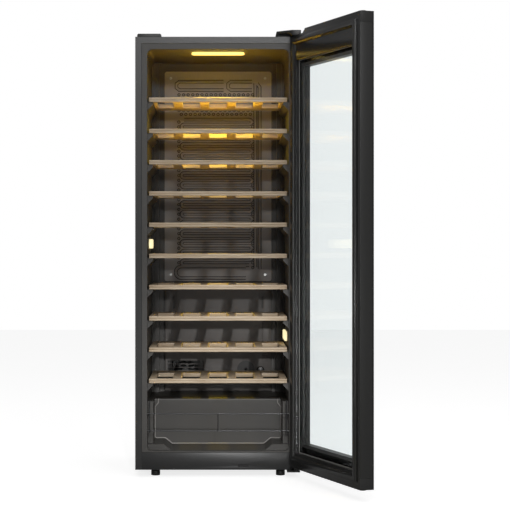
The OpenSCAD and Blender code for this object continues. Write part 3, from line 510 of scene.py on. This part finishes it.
def spots_tree():
    """Sets a low dome on every point of the mesh given, facing the front."""
    tree, given = started("Domes on points", [("Radius", "NodeSocketFloat", 0.004),
                                              ("Rise", "NodeSocketFloat", 0.5)])
    dome = add(tree, "GeometryNodeMeshUVSphere", {"Segments": 14, "Rings": 8, "Radius": given["Radius"]})
    squeeze = add(tree, "ShaderNodeCombineXYZ", {0: 1.0, 1: given["Rise"], 2: 1.0})
    flat = add(tree, "GeometryNodeTransform", {"Geometry": dome.outputs[0], "Scale": squeeze.outputs[0]})
    copies = add(tree, "GeometryNodeInstanceOnPoints", {"Points": given["Geometry"],
                                                        "Instance": flat.outputs[0]})
    return ended(tree, given, copies)


def channel_tree():
    """Runs a flattened tube along the edges given."""
    tree, given = started("Channels on a path", [("Width", "NodeSocketFloat", 0.009),
                                                 ("Rise", "NodeSocketFloat", 0.0022)])
    path = add(tree, "GeometryNodeMeshToCurve", {0: given["Geometry"]})
    half = add(tree, "ShaderNodeMath", {0: given["Width"], 1: 0.5}, operation="MULTIPLY")
    ring = add(tree, "GeometryNodeCurvePrimitiveCircle", {"Resolution": 10, "Radius": half.outputs[0]})
    tube = add(tree, "GeometryNodeCurveToMesh", {"Curve": path.outputs[0], "Profile Curve": ring.outputs[0],
                                                 "Fill Caps": True})
    spot = add(tree, "GeometryNodeInputPosition")
    parts = add(tree, "ShaderNodeSeparateXYZ", {0: spot.outputs[0]})
    ratio = add(tree, "ShaderNodeMath", {0: given["Rise"], 1: half.outputs[0]}, operation="DIVIDE")
    lower = add(tree, "ShaderNodeMath", {0: parts.outputs[1], 1: ratio.outputs[0]}, operation="MULTIPLY")
    pressed = add(tree, "ShaderNodeCombineXYZ", {0: parts.outputs[0], 1: lower.outputs[0],
                                                 2: parts.outputs[2]})
    flat = add(tree, "GeometryNodeSetPosition", {"Geometry": tube.outputs[0],
                                                 "Position": pressed.outputs[0]})
    return ended(tree, given, flat)


def grown(mesh, make_tree, shift=(0, 0, 0), **inputs):
    """The plain mesh that a tree makes of a mesh, moved by shift. Each tree is made once."""
    tree = TREES.get(make_tree) or make_tree()
    TREES[make_tree] = tree
    seed = linked("seed", mesh)
    maker = seed.modifiers.new("grow", "NODES")
    maker.node_group = tree
    for item in tree.interface.items_tree:
        if item.item_type == "SOCKET" and item.in_out == "INPUT" and item.name in inputs:
            maker[item.identifier] = inputs[item.name]
    done = settle(seed)
    done.transform(Matrix.Translation(Vector(shift)))
    return done


def points_mesh(points):
    """A mesh of loose points."""
    return paths_mesh([[p] for p in points])


def paths_mesh(paths):
    """One mesh with each path as a chain of edges."""
    points, edges = [], []
    for path in paths:
        first = len(points)
        points += [tuple(p) for p in path]
        edges += [(first + i, first + i + 1) for i in range(len(path) - 1)]
    mesh = bpy.data.meshes.new("paths")
    mesh.from_pydata(points, edges, [])
    return mesh


def joined(meshes, name):
    """Several meshes as one, keeping each face's material number."""
    bm = bmesh.new()
    for mesh in meshes:
        bm.from_mesh(mesh)
    mesh = bpy.data.meshes.new(name)
    bm.to_mesh(mesh)
    bm.free()
    return mesh


# ---------------------------------------------------------------- pieces

class COOLER_OT_finish_frame(bpy.types.Operator):
    """Give every part of the frame its finish"""
    bl_idname = "cooler.finish_frame"
    bl_label = "Finish the frame"

    def execute(self, context):
        f = finishes()
        by_finish = {
            "powder_coated_steel": ["side_panels", "top_panel", "back_panel", "base_plate", "plinth_panel",
                                    "machine_cover"],
            "vacuum_formed_polystyrene": ["inner_liner"],
            "lacquered_aluminium": ["evaporator_plate"],
            "zinc_plated_steel": ["evaporator_screws", "bay_divider", "hinge_screws", "top_hinge_bracket",
                                  "bottom_hinge_bracket", "control_box"],
            "grey_abs": ["air_cover", "door_bushes"],
            "black_abs": ["fan_frame", "fan_rotor", "temperature_probe", "guard_sockets", "starter_box",
                          "drain_tray", "cord_gland", "top_hinge_cover", "hinge_hole_cap",
                          "touch_display", "hinge_hole_plugs"] + FEET,
            "activated_charcoal_case": ["charcoal_filter"],
            "opal_polycarbonate": ["ceiling_light"],
            "opal_polycarbonate_dim": ["side_lights"],
            "chromed_wire": ["bottle_guard"],
            "black_enamel": ["compressor", "condenser"],
            "moulded_rubber": ["compressor_mounts", "drain_hose"],
            "copper_tube": ["refrigerant_pipes", "filter_drier"],
            "polyurethane_foam": ["foam_insulation"],
            "extruded_abs": ["door_side_profiles", "door_top_cap", "door_bottom_cap", "door_inner_frame"],
            "soft_pvc": ["door_gasket"],
            "warm_edge_spacer": ["glass_spacers"],
        }
        finish_of = {n: f[k] for k, names in by_finish.items() for n in names}
        finish_of["outer_glass"] = finish_of["inner_glass"] = float_glass()
        wood = context.scene.cooler_shelves.wood
        for n in SHELVES:
            finish_of[n] = beech("oiled_beech_across", wood, "X")
        for n, obj in frame["nodes"].items():
            mat = finish_of[n]
            if not obj.material_slots:
                obj.data.materials.append(mat)
            for s in obj.material_slots:
                s.material = mat
        return {"FINISHED"}


def hinge_cover(shell, shade):
    """The cover over the top hinge: a hood that reaches forward over the hinge arm, with a finger opening."""
    low, high = corners("top_hinge_cover")
    front = CASE_LOW.y
    left, right, base, top = low.x, high.x, CASE_HIGH.z + 0.0004, high.z
    nose, chamfer, lean = 0.034, 0.004, 0.006
    plan = [(left, high.y), (left, front + 0.001), (left + chamfer, front - 0.002),
            (right - nose, low.y + 0.003), (right - nose + 0.007, low.y), (right - chamfer, low.y),
            (right, low.y + chamfer), (right, high.y)]
    bm = bmesh.new()
    prism(bm, plan, base, top, axis=2)
    # the left side leans inwards to its top
    for v in bm.verts:
        if v.co.z > top - 0.001 and v.co.x < left + 0.002:
            v.co.x += lean
    hood = linked("hood", to_mesh(bm, "hood"))
    # the opening is a lens cut off at the base: a short steep side at the left, a long round one at the right
    lens_left, lens_right, lens_top = left + 0.009, left + 0.052, base + 0.0092
    sill, below, steep, gentle = base + 0.003, base - 0.002, 0.005, 0.016
    turn = [math.radians(15 * k) for k in range(7)]
    arch = [(lens_left, below), (lens_left, sill)]
    arch += [(lens_left + steep * (1 - math.cos(a)), sill + (lens_top - sill) * math.sin(a))
             for a in turn[1:]]
    arch += [(lens_right - gentle + gentle * math.sin(a), base + (lens_top - base) * math.cos(a))
             for a in turn[:-1]] + [(lens_right, below)]
    bm = bmesh.new()
    prism(bm, arch, low.y - 0.01, front + 0.006)
    cutter = linked("finger_cut", to_mesh(bm, "finger_cut"))
    cut = hood.modifiers.new("finger opening", "BOOLEAN")
    cut.operation = "DIFFERENCE"
    cut.object = cutter
    cut.solver = "EXACT"
    bevel = hood.modifiers.new("edges", "BEVEL")
    bevel.width = 0.0016
    bevel.segments = 3
    bevel.limit_method = "ANGLE"
    bevel.angle_limit = math.radians(40)
    done = settle(hood)
    bpy.data.objects.remove(cutter)
    place("top_hinge_hood", done, "cabinet", "black_plastic", [shell], replaces=["top_hinge_cover"])
    # a dark rubber sheet at the back of the finger opening: painted shade in the recess
    bm = bmesh.new()
    x0, x1, z1 = lens_left - 0.001, lens_right + 0.001, lens_top + 0.0008
    prism(bm, [(x0, base), (x1, base), (x1, z1), (x0, z1)], front + 0.0045, front + 0.0062)
    place("finger_opening_painted_shade", to_mesh(bm, "shade"), "cabinet", "black_plastic", [shade])


class COOLER_OT_case(bpy.types.Operator):
    """Round the edges of the cabinet's panels and covers"""
    bl_idname = "cooler.case"
    bl_label = "Case"

    def execute(self, context):
        f = finishes()
        s = context.scene.cooler_case
        hinge_cover(f["black_abs"], f["moulded_rubber"])
        for node, slot, finish, rounding, segments in (
                ("hinge_hole_cap", "black_plastic", "black_abs", s.trim_round, 4),
                ("plinth_panel", "cabinet_steel", "powder_coated_steel", s.sheet_round, 2),
                ("bottom_hinge_bracket", "bare_steel", "powder_coated_steel", 0.0006, 2),
                ("air_cover", "grey_plastic", "grey_abs", 0.0008, 2),
                ("fan_frame", "black_plastic", "black_abs", 0.0015, 2),
                ("ceiling_light", "light_cover", "opal_polycarbonate", 0.002, 3),
                ("side_lights", "light_cover", "opal_polycarbonate_dim", 0.002, 3)):
            softened(node, "cabinet", slot, f[finish], rounding, segments)
        return {"FINISHED"}


class COOLER_OT_seams(bpy.types.Operator):
    """Fill the seam between the sheet metal and the liner, and shade the plinth's slot"""
    bl_idname = "cooler.seams"
    bl_label = "Seams"

    def execute(self, context):
        f = finishes()
        flange, gap = 0.0212, 0.0006
        low, high = corners("plinth_panel")
        x, z0, z1 = CASE_HIGH.x - flange, high.z + gap, CASE_HIGH.z - flange
        path = [(-x, 0, z0), (-x, 0, z1), (x, 0, z1), (x, 0, z0), (-x, 0, z0)]
        mesh = grown(paths_mesh([path]), channel_tree, (0, CASE_LOW.y, 0), Width=0.0019, Rise=0.0003,
                     Finish=f["moulded_rubber"])
        place("liner_seam", mesh, "cabinet", "rubber", [f["moulded_rubber"]])
        # a near-black sheet behind the plinth's slot: painted shade in the recess
        slot_left, slot_right = 0.062, 0.105
        bm = bmesh.new()
        beam(bm, (slot_left, low.y + 0.0045, low.z + 0.0062), (slot_right, low.y + 0.011, low.z + 0.020),
             0.0008)
        place("slot_painted_shade", to_mesh(bm, "slot_shade_sheet"), "cabinet", "black_plastic", [f["painted_shade"]])
        return {"FINISHED"}


class COOLER_OT_fillets(bpy.types.Operator):
    """Run the liner's fillet round the front of the step"""
    bl_idname = "cooler.fillets"
    bl_label = "Step fillet"

    def execute(self, context):
        f = finishes()
        step_depth = 0.32
        front = CASE_HIGH.y - step_depth
        floor = LINER_LOW.z + 0.0053
        foot, kerb, top, wide = floor + 0.0018, floor + 0.0205, 0.2415, 0.2165
        # right half: along the floor, up over the kerb, round its corner and up to the chamfered shoulder
        half = [(0.0, foot), (0.1572, foot), (0.1808, kerb), (wide - 0.006, kerb),
                (wide - 0.0015, kerb + 0.0015), (wide, kerb + 0.006), (wide, top - 0.028),
                (wide - 0.011, top - 0.014), (wide - 0.012, top)]
        path = [(-x, 0, z) for x, z in reversed(half)] + [(x, 0, z) for x, z in half[1:]]
        # the bead's pale colour is a painted highlight along the step's rounded edge
        mesh = grown(paths_mesh([path]), channel_tree, (0, front, 0), Width=0.0034, Rise=0.0026,
                     Finish=f["painted_highlight_fillet"])
        place("step_fillet", mesh, "cabinet", "liner_plastic", [f["painted_highlight_fillet"]])
        return {"FINISHED"}


class COOLER_OT_evaporator(bpy.types.Operator):
    """Emboss the refrigerant channels on the evaporator"""
    bl_idname = "cooler.evaporator"
    bl_label = "Evaporator channels"

    def execute(self, context):
        f = finishes()
        s = context.scene.cooler_case
        low, high = corners("evaporator_plate")
        face, pitch = low.y, s.channel_pitch
        left, right = -0.122, 0.112
        z_top, z_low = high.z - 0.172, low.z + 0.05
        turns = int((z_top - z_low) / pitch)
        # the long run, back and forth down the plate with a half circle at each end
        run = []
        for i in range(turns + 1):
            z = z_top - i * pitch
            start, end, way = (left, right, 1) if i % 2 == 0 else (right, left, -1)
            run += [(start, 0, z), (end, 0, z)]
            if i < turns:
                for k in range(1, 8):
                    a = math.pi * k / 8
                    run.append((end + way * pitch / 2 * math.sin(a), 0,
                                z - pitch / 2 + pitch / 2 * math.cos(a)))
        paths = [run]
        # two headers down the right side
        for k, x in enumerate((0.134, 0.1495)):
            paths.append([(x - 0.01 * k, 0, high.z - 0.042), (x, 0, high.z - 0.056),
                          (x, 0, z_low - 0.006 * k)])
        # two loops side by side over the top, open at their right
        top, base = high.z - 0.036, high.z - 0.066
        corner_x, corner_z = 0.01, 0.008
        for x0, x1 in ((-0.149, 0.02), (0.036, 0.122)):
            paths.append([(x1, 0, base), (x0 + corner_x, 0, base), (x0, 0, base + corner_z),
                          (x0, 0, top - corner_z), (x0 + corner_x, 0, top), (x1, 0, top)])
        # the rounded return at the bottom left
        bend, bend_x, bend_z, tail = 0.021, -0.131, low.z + 0.032, 0.1
        ring = [(bend_x + bend * math.cos(a), 0, bend_z + bend * math.sin(a))
                for a in (math.radians(90 + 15 * k) for k in range(13))]
        paths.append([(tail, 0, bend_z + bend)] + ring + [(tail, 0, bend_z - bend)])
        channels = grown(paths_mesh(paths), channel_tree, (0, face, 0), Width=s.channel_width,
                         Rise=s.channel_rise, Finish=f["lacquered_aluminium"])
        # a near-black band under each channel, a little wider than it: painted shade along the creases at
        # both sides
        crease_shade = grown(paths_mesh(paths), channel_tree, (0, face, 0), Width=s.channel_width + 0.0048,
                      Rise=0.0006, Finish=f["painted_shade"])
        # four rows of domes over the long run, every other row moved by half a step
        dot_count, dot_left, dot_step = 17, -0.14, 0.0165
        dots = [(dot_left + (k + 0.5 * (row % 2)) * dot_step, 0, high.z - drop)
                for row, drop in enumerate((0.083, 0.098, 0.139, 0.153)) for k in range(dot_count)]
        # and one outside each half circle
        dots += [(x, 0, z_top - (i + 0.5) * pitch) for i in range(turns + 1)
                 for x in (left - 0.0185, right + 0.0125)]
        # a near-black ring round the foot of each dome: painted shade
        rings = grown(points_mesh(dots), spots_tree, (0, face, 0), Radius=0.0056, Rise=0.1,
                      Finish=f["painted_shade"])
        crease_shade = joined([crease_shade, rings], "channel_crease_shades")
        domes = grown(points_mesh(dots), spots_tree, (0, face, 0), Radius=0.0034, Rise=0.5,
                      Finish=f["lacquered_aluminium"])
        mesh = joined([channels, domes], "evaporator_channels")
        place("evaporator_channels", mesh, "cabinet", "evaporator_aluminium", [f["lacquered_aluminium"]])
        place("channel_crease_shades", crease_shade, "cabinet", "evaporator_aluminium", [f["painted_shade"]])
        return {"FINISHED"}


class COOLER_OT_air_cover(bpy.types.Operator):
    """Add the raised fields of the lower air cover and the grille over its filter"""
    bl_idname = "cooler.air_cover"
    bl_label = "Air cover details"

    def execute(self, context):
        f = finishes()
        low, high = corners("air_cover")
        face = low.y
        bm = bmesh.new()
        prism(bm, rounded(-0.148, high.z - 0.150, 0.146, high.z - 0.006, 0.012), face - 0.0018, face + 0.0005)
        beam(bm, (0.158, face - 0.003, low.z + 0.125), (0.184, face + 0.001, high.z - 0.14), 0.0015)
        place("air_cover_fields", to_mesh(bm, "cover_fields"), "cabinet", "grey_plastic", [f["grey_abs"]],
              angle=30)
        # ten thin bars across the filter's open face
        filter_low, filter_high = corners("charcoal_filter")
        centre = (filter_low + filter_high) / 2
        bars, reach, half_width, front, thick = 10, 0.0205, 0.0011, filter_low.y + 0.0006, 0.0016
        bm = bmesh.new()
        for k in range(bars):
            a = math.pi * k / bars
            along = Vector((math.cos(a), math.sin(a))) * reach
            side = Vector((-math.sin(a), math.cos(a))) * half_width
            hub = Vector((centre.x, centre.z))
            prism(bm, [hub + along + side, hub - along + side, hub - along - side, hub + along - side],
                  front, front + thick)
        place("charcoal_filter_grille", to_mesh(bm, "filter_grille"), "cabinet", "black_plastic",
              [f["activated_charcoal_case"]])
        return {"FINISHED"}


class COOLER_OT_shelves(bpy.types.Operator):
    """Build the ten beech shelves"""
    bl_idname = "cooler.shelves"
    bl_label = "Shelves"

    def execute(self, context):
        s = context.scene.cooler_shelves
        across = beech("oiled_beech_across", s.wood, "X")
        deep = beech("oiled_beech_deep", s.wood, "Y")
        glue = moulded("glue_line", "#8a6f4c", 0.7, grain_mm=0.5, depth_mm=0.02, vary=0.1)
        slats_per_shelf, seam, lap, skin = 4, 0.00035, 0.0004, 0.0001
        for node in SHELVES:
            low, high = corners(node)
            r, rear, bar_back = s.edge_round, high.y - s.plank_depth, low.y + s.bar_depth
            slat = bmesh.new()
            beam(slat, (-s.slat_width / 2, bar_back - lap, low.z + skin),
                 (s.slat_width / 2, rear + lap, high.z - skin), r)
            slats = grown(to_mesh(slat, "slat"), row_tree, Count=slats_per_shelf, Finish=deep,
                          Start=(-(slats_per_shelf - 1) / 2 * s.slat_pitch, 0, 0),
                          Step=(s.slat_pitch, 0, 0))
            bm = bmesh.new()
            # the front bar is two layers with a glue line between them
            middle = (low.z + high.z) / 2
            for z0, z1 in ((low.z, middle - seam), (middle + seam, high.z)):
                beam(bm, (low.x, low.y, z0), (high.x, bar_back, z1), r * 0.7)
            beam(bm, (low.x + 0.001, low.y + 0.0008, middle - 0.001),
                 (high.x - 0.001, bar_back - 0.0008, middle + 0.001), 0.0, material=2)
            for side, edge in ((-1, low.x), (1, high.x)):
                beam(bm, (edge - side * s.side_width, bar_back - lap, low.z + skin),
                     (edge, rear + lap, high.z - skin), r, material=1)
            # the rear plank is two strips side by side
            strip = s.plank_depth / 2
            for k in range(2):
                beam(bm, (low.x, rear + k * strip + 0.0002, low.z),
                     (high.x, rear + (k + 1) * strip, high.z), r)
            # the joint of two lengths near the right end of the front bar
            beam(bm, (high.x - 0.0072, low.y - 0.00002, low.z + r),
                 (high.x - 0.0066, low.y + 0.001, high.z - r), 0.0, material=2)
            for poly in slats.polygons:
                poly.material_index = 1
            slats.materials.clear()
            whole = joined([to_mesh(bm, "bars"), slats], node + "_wood")
            place(node + "_wood", whole, node, "beech", [across, deep, glue], angle=50, replaces=[node])
        return {"FINISHED"}


# the closed door's edge at the hinge, inner face, width and height, filled in by measure_door
DOOR = {}


def measure_door():
    """Takes the closed door's measures from its outer pane and inner frame."""
    back = DOOR_POSE.inverted()
    outer = [back @ v.co for v in frame["nodes"]["outer_glass"].data.vertices]
    inner = [back @ v.co for v in frame["nodes"]["door_inner_frame"].data.vertices]
    DOOR.update(edge=max(p.x for p in outer), face=max(p.y for p in inner),
                width=max(p.x for p in outer) - min(p.x for p in outer),
                low=min(p.z for p in outer), high=max(p.z for p in outer),
                out0=max(p.y for p in inner) - max(p.y for p in outer),
                out1=max(p.y for p in inner) - min(p.y for p in outer))


def door_corner(s, v, z):
    """A point in the closed door: s from the hinge edge, v out of the inner face."""
    return Vector((DOOR["edge"] - s, DOOR["face"] - v, z))


def door_beam(bm, s, v, z, rounding=0.0):
    """Adds a box to the closed door, by its spans in s, v and z."""
    beam(bm, door_corner(s[0], v[0], z[0]), door_corner(s[1], v[1], z[1]), rounding)


def door_piece(name, bm, slot, materials, **more):
    """Makes a piece of what was built in the closed door, turned to where the door rests."""
    mesh = to_mesh(bm, name)
    mesh.transform(DOOR_POSE)
    place(name, mesh, "door", slot, materials, **more)


def door_sweep(bm, section, inset):
    """Runs a closed section of (inwards, outwards) points round the door, mitred at its corners."""
    d = DOOR
    rings = []
    for cs, cz, ds, dz in ((0, d["low"], 1, 1), (d["width"], d["low"], -1, 1),
                           (d["width"], d["high"], -1, -1), (0, d["high"], 1, -1)):
        rings.append([bm.verts.new(door_corner(cs + ds * (inset + a), v, cz + dz * (inset + a)))
                      for a, v in section])
    n = len(section)
    for i in range(4):
        a, b = rings[i], rings[(i + 1) % 4]
        for k in range(n):
            bm.faces.new((a[k], a[(k + 1) % n], b[(k + 1) % n], b[k]))


class COOLER_OT_door(bpy.types.Operator):
    """Build the door's outer pane, gasket, bead and frame"""
    bl_idname = "cooler.door"
    bl_label = "Door"

    def execute(self, context):
        f = finishes()
        s = context.scene.cooler_door
        measure_door()
        d = DOOR
        for node in ("door_side_profiles", "door_top_cap", "door_bottom_cap"):
            softened(node, "door", "door_plastic", f["extruded_abs"], s.edge_round, 3)
        softened("door_inner_frame", "door", "door_plastic", f["gloss_abs"], s.edge_round, 3)
        softened("hinge_hole_plugs", "door", "black_plastic", f["black_abs"], 0.0006, 2)
        # outer pane: clear in the middle, enamelled round the border
        bm = bmesh.new()
        side, top, low = s.border_side, s.border_top, s.border_low
        spans_s = (0, side, d["width"] - side, d["width"])
        spans_z = (d["low"], d["low"] + low, d["high"] - top, d["high"])
        grid = {}
        for i, ps in enumerate(spans_s):
            for j, pz in enumerate(spans_z):
                for k, pv in enumerate((d["out0"], d["out1"])):
                    grid[i, j, k] = bm.verts.new(door_corner(ps, pv, pz))
        for i in range(3):
            for j in range(3):
                border = 0 if (i, j) == (1, 1) else 1
                for k in range(2):
                    bm.faces.new([grid[i, j, k], grid[i + 1, j, k], grid[i + 1, j + 1, k],
                                  grid[i, j + 1, k]]).material_index = border
        for i in range(3):
            for j in (0, 3):
                bm.faces.new([grid[i, j, 0], grid[i + 1, j, 0], grid[i + 1, j, 1],
                              grid[i, j, 1]]).material_index = 1
        for j in range(3):
            for i in (0, 3):
                bm.faces.new([grid[i, j, 0], grid[i, j + 1, 0], grid[i, j + 1, 1],
                              grid[i, j, 1]]).material_index = 1
        door_piece("outer_pane", bm, "glass", [float_glass(), f["fired_enamel"]], angle=20,
                   replaces=["outer_glass"])
        # the seal's section: a foot in the groove, a bellows and the flat bulb that holds the magnet
        bm = bmesh.new()
        section = [(0, 0), (0, -0.0016), (0.0022, -0.0024), (0.0036, -0.0042), (0.003, -0.0062),
                   (0.0042, -0.0082), (0.0062, -0.0094), (0.0178, -0.0094), (0.0198, -0.0082),
                   (0.021, -0.0062), (0.0204, -0.0042), (0.0218, -0.0024), (0.024, -0.0016), (0.024, 0)]
        door_sweep(bm, section, s.gasket_in)
        door_piece("gasket_bellows", bm, "gasket_rubber", [f["soft_pvc"]], angle=55,
                   replaces=["door_gasket"])
        # a pale bead where the inner pane meets the frame
        bm = bmesh.new()
        side, top, low = 0.047, 0.095, 0.052
        z0, z1, w = d["low"] + low, d["high"] - top, 0.0022
        depth = (0.0125, 0.0141)
        door_beam(bm, (side, side + w), depth, (z0, z1))
        door_beam(bm, (d["width"] - side - w, d["width"] - side), depth, (z0, z1))
        door_beam(bm, (side + w, d["width"] - side - w), depth, (z0, z0 + w))
        door_beam(bm, (side + w, d["width"] - side - w), depth, (z1 - w, z1))
        door_piece("glazing_bead", bm, "door_plastic", [f["glazing_bead"]])
        return {"FINISHED"}


class COOLER_OT_display(bpy.types.Operator):
    """Light the temperature figures and touch points behind the outer pane"""
    bl_idname = "cooler.display"
    bl_label = "Display"

    def execute(self, context):
        f = finishes()
        measure_door()
        d = DOOR
        bm = bmesh.new()
        centre_s, centre_z = d["width"] / 2, d["high"] - 0.06
        lit = (d["out1"], d["out1"] + 0.00025)
        w, h, t = 0.0085, 0.017, 0.0016
        # the bars of a seven-segment figure, less the one that neither figure lights
        bars = {"a": ((0, w), (h - t, h)), "g": ((0, w), (h / 2 - t / 2, h / 2 + t / 2)),
                "d": ((0, w), (0, t)), "b": ((0, t), (h / 2, h)), "c": ((0, t), (0, h / 2)),
                "e": ((w - t, w), (0, h / 2))}
        for k, figure in enumerate(("bc", "abged")):
            s0 = centre_s + 0.012 - k * 0.014 - w
            for name in figure:
                (a0, a1), (z0, z1) = bars[name]
                door_beam(bm, (s0 + a0, s0 + a1), lit, (centre_z - h / 2 + z0, centre_z - h / 2 + z1))
        touch_pitch, touch_half = 0.02, 0.002
        for k in (-3, -2, 2, 3):
            s0 = centre_s + k * touch_pitch
            door_beam(bm, (s0 - touch_half, s0 + touch_half), lit,
                      (centre_z - touch_half, centre_z + touch_half), 0.0001)
        door_piece("display_figures", bm, "black_plastic", [f["glowing_segments"]])
        return {"FINISHED"}


class COOLER_OT_feet(bpy.types.Operator):
    """Build the four levelling feet"""
    bl_idname = "cooler.feet"
    bl_label = "Feet"

    def execute(self, context):
        f = finishes()
        for node in FEET:
            low, high = corners(node)
            r = (high.x - low.x) / 2
            centre = ((low.x + high.x) / 2, (low.y + high.y) / 2, low.z)
            bm = bmesh.new()
            profile = [(0, 0), (r - 0.002, 0), (r - 0.0005, 0.0006), (r, 0.002), (r, 0.0155),
                       (r - 0.0006, 0.0169), (r - 0.002, 0.0176), (0.0098, 0.0176), (0.0093, 0.0182),
                       (0.0093, 0.0235), (0.005, 0.0235)]
            z, thread, height, ribs = 0.0245, 0.0012, high.z - low.z, 24
            while z < height - thread:
                profile += [(0.0046, z), (0.005, z + thread / 2)]
                z += thread
            profile += [(0.0044, height), (0, height)]
            lathe(bm, profile, centre, 36)
            # grip ribs round the pad
            rib = bmesh.new()
            beam(rib, (r - 0.0012, -0.0007, 0.0025), (r - 0.0001, 0.0007, 0.0150), 0.0003)
            one = to_mesh(rib, "rib")
            meshes = [to_mesh(bm, node)]
            for k in range(ribs):
                meshes.append(one.copy())
                meshes[-1].transform(Matrix.Translation(Vector(centre))
                                     @ Matrix.Rotation(2 * math.pi * k / ribs, 4, "Z"))
            place(node + "_finished", joined(meshes, node + "_pad"), node, "black_plastic",
                  [f["black_abs"]], replaces=[node])
        return {"FINISHED"}


class COOLER_OT_fasteners(bpy.types.Operator):
    """Set the screws that hold the back"""
    bl_idname = "cooler.fasteners"
    bl_label = "Back screws"

    def execute(self, context):
        f = finishes()
        low, high = corners("machine_cover")
        rear, cover_x, back_x = CASE_HIGH.y, 0.262, 0.267
        points = [(x, 0, z) for x in (-cover_x, 0.0, cover_x) for z in (high.z - 0.01, low.z + 0.012)]
        points += [(x, 0, z) for z in (0.45, 0.85, 1.25) for x in (-back_x, back_x)]
        mesh = grown(points_mesh(points), spots_tree, (0, rear - 0.001, 0), Radius=0.0042, Rise=0.55,
                     Finish=f["zinc_plated_steel"])
        place("back_screws", mesh, "cabinet", "bare_steel", [f["zinc_plated_steel"]])
        return {"FINISHED"}


def aimed(light, spot, target):
    """Puts a light at a spot and turns it to its target."""
    light.location = spot
    light.rotation_euler = (Vector(target) - Vector(spot)).to_track_quat("-Z", "Y").to_euler()


def lamp(name, spot, target, energy, width, height, colour=(1, 1, 1), spread=180.0):
    """Adds a rectangular light that the camera doesn't see."""
    data = bpy.data.lights.new(name, "AREA")
    data.shape = "RECTANGLE"
    data.size = width
    data.size_y = height
    data.energy = energy
    data.color = colour
    data.spread = math.radians(spread)
    made = linked(name, data)
    aimed(made, spot, target)
    made.visible_camera = False


class COOLER_OT_stage(bpy.types.Operator):
    """Set up the floor, the lights and the camera"""
    bl_idname = "cooler.stage"
    bl_label = "Stage"

    def execute(self, context):
        s = context.scene.cooler_light
        scene = context.scene
        world = bpy.data.worlds.new("even_surround")
        world.use_nodes = True
        tree = world.node_tree
        tree.nodes.clear()
        seen = seen_directly(tree)
        bright = add(tree, "ShaderNodeMapRange", {"Value": seen.outputs[0], 3: s.sky_fill, 4: s.sky})
        even = add(tree, "ShaderNodeBackground", {"Color": (1, 1, 1, 1), "Strength": bright.outputs[0]})
        add(tree, "ShaderNodeOutputWorld", {"Surface": even.outputs[0]})
        scene.world = world
        scene.view_settings.view_transform = "Standard"
        bm = bmesh.new()
        half, squares = 9.0, 24
        bmesh.ops.create_grid(bm, x_segments=squares, y_segments=squares, size=half)
        mesh = to_mesh(bm, "floor")
        mesh.materials.append(light_table("pale_studio_floor", s.sky))
        linked("floor", mesh)
        lamp("key_light", (0.0, -5.6, 2.42), (0.0, 0.0, 0.55), s.key_power, 0.7, 0.4)
        lamp("front_softbox", (0.95, -3.0, 2.15), (0.2, 0.0, 1.3), s.soft_power, 0.8, 0.5)
        lamp("low_softbox", (0.55, -3.0, 0.45), (0.1, 0.0, 0.2), s.soft_power * 0.5, 0.5, 0.4)
        lamp("overhead_softbox", (0.2, -0.9, 4.2), (0.2, -0.9, 0.0), s.over_power, 4.5, 4.5)
        spot = bpy.data.lights.new("low_spot", "SPOT")
        spot.energy = s.low_power
        spot.spot_size = math.radians(9.5)
        spot.spot_blend = 0.8
        spot.shadow_soft_size = 0.1
        aimed(linked("low_spot", spot), (0.35, -5.6, 2.3), (0.06, -0.2, 0.3))
        light_low, light_high = corners("ceiling_light")
        middle = (light_low + light_high) / 2
        lamp("cavity_lamp", (middle.x, middle.y, light_low.z - 0.004), (middle.x, middle.y, 0.0),
             s.lamp_power, light_high.x - light_low.x, 0.03, tuple(s.lamp_colour), 95.0)
        camera = bpy.data.cameras.new("view")
        camera.lens = 114.0
        camera.sensor_width = 36.0
        camera.shift_x = 0.0725
        camera.shift_y = -0.0205
        camera.clip_end = 60.0
        eye = linked("view", camera)
        eye.location = (0.0, -5.622, 0.772)
        eye.rotation_euler = (math.radians(90), 0, 0)
        scene.camera = eye
        return {"FINISHED"}


ORDER = ("finish_frame", "case", "seams", "fillets", "evaporator", "air_cover", "shelves", "door", "display",
         "feet", "fasteners", "stage")


class COOLER_PT_panel(bpy.types.Panel):
    """The cooler's settings and steps"""
    bl_idname = "COOLER_PT_panel"
    bl_label = "Wine cooler"
    bl_space_type = "VIEW_3D"
    bl_region_type = "UI"
    bl_category = "Cooler"

    def draw(self, context):
        layout = self.layout
        for group in SETTINGS:
            settings = getattr(context.scene, group)
            box = layout.box()
            for name in settings.bl_rna.properties.keys():
                if name not in ("rna_type", "name"):
                    box.prop(settings, name)
        for step in ORDER:
            layout.operator("cooler." + step)


CLASSES = (*SETTINGS.values(), COOLER_OT_finish_frame, COOLER_OT_case, COOLER_OT_seams, COOLER_OT_fillets,
           COOLER_OT_evaporator, COOLER_OT_air_cover, COOLER_OT_shelves, COOLER_OT_door, COOLER_OT_display,
           COOLER_OT_feet, COOLER_OT_fasteners, COOLER_OT_stage, COOLER_PT_panel)


def register():
    for c in CLASSES:
        bpy.utils.register_class(c)
    for name, group in SETTINGS.items():
        setattr(bpy.types.Scene, name, bpy.props.PointerProperty(type=group))


def unregister():
    for name in SETTINGS:
        delattr(bpy.types.Scene, name)
    for c in reversed(CLASSES):
        bpy.utils.unregister_class(c)


def main():
    register()
    for step in ORDER:
        getattr(bpy.ops.cooler, step)()
    bpy.context.view_layer.update()


if __name__ == "__main__":
    main()
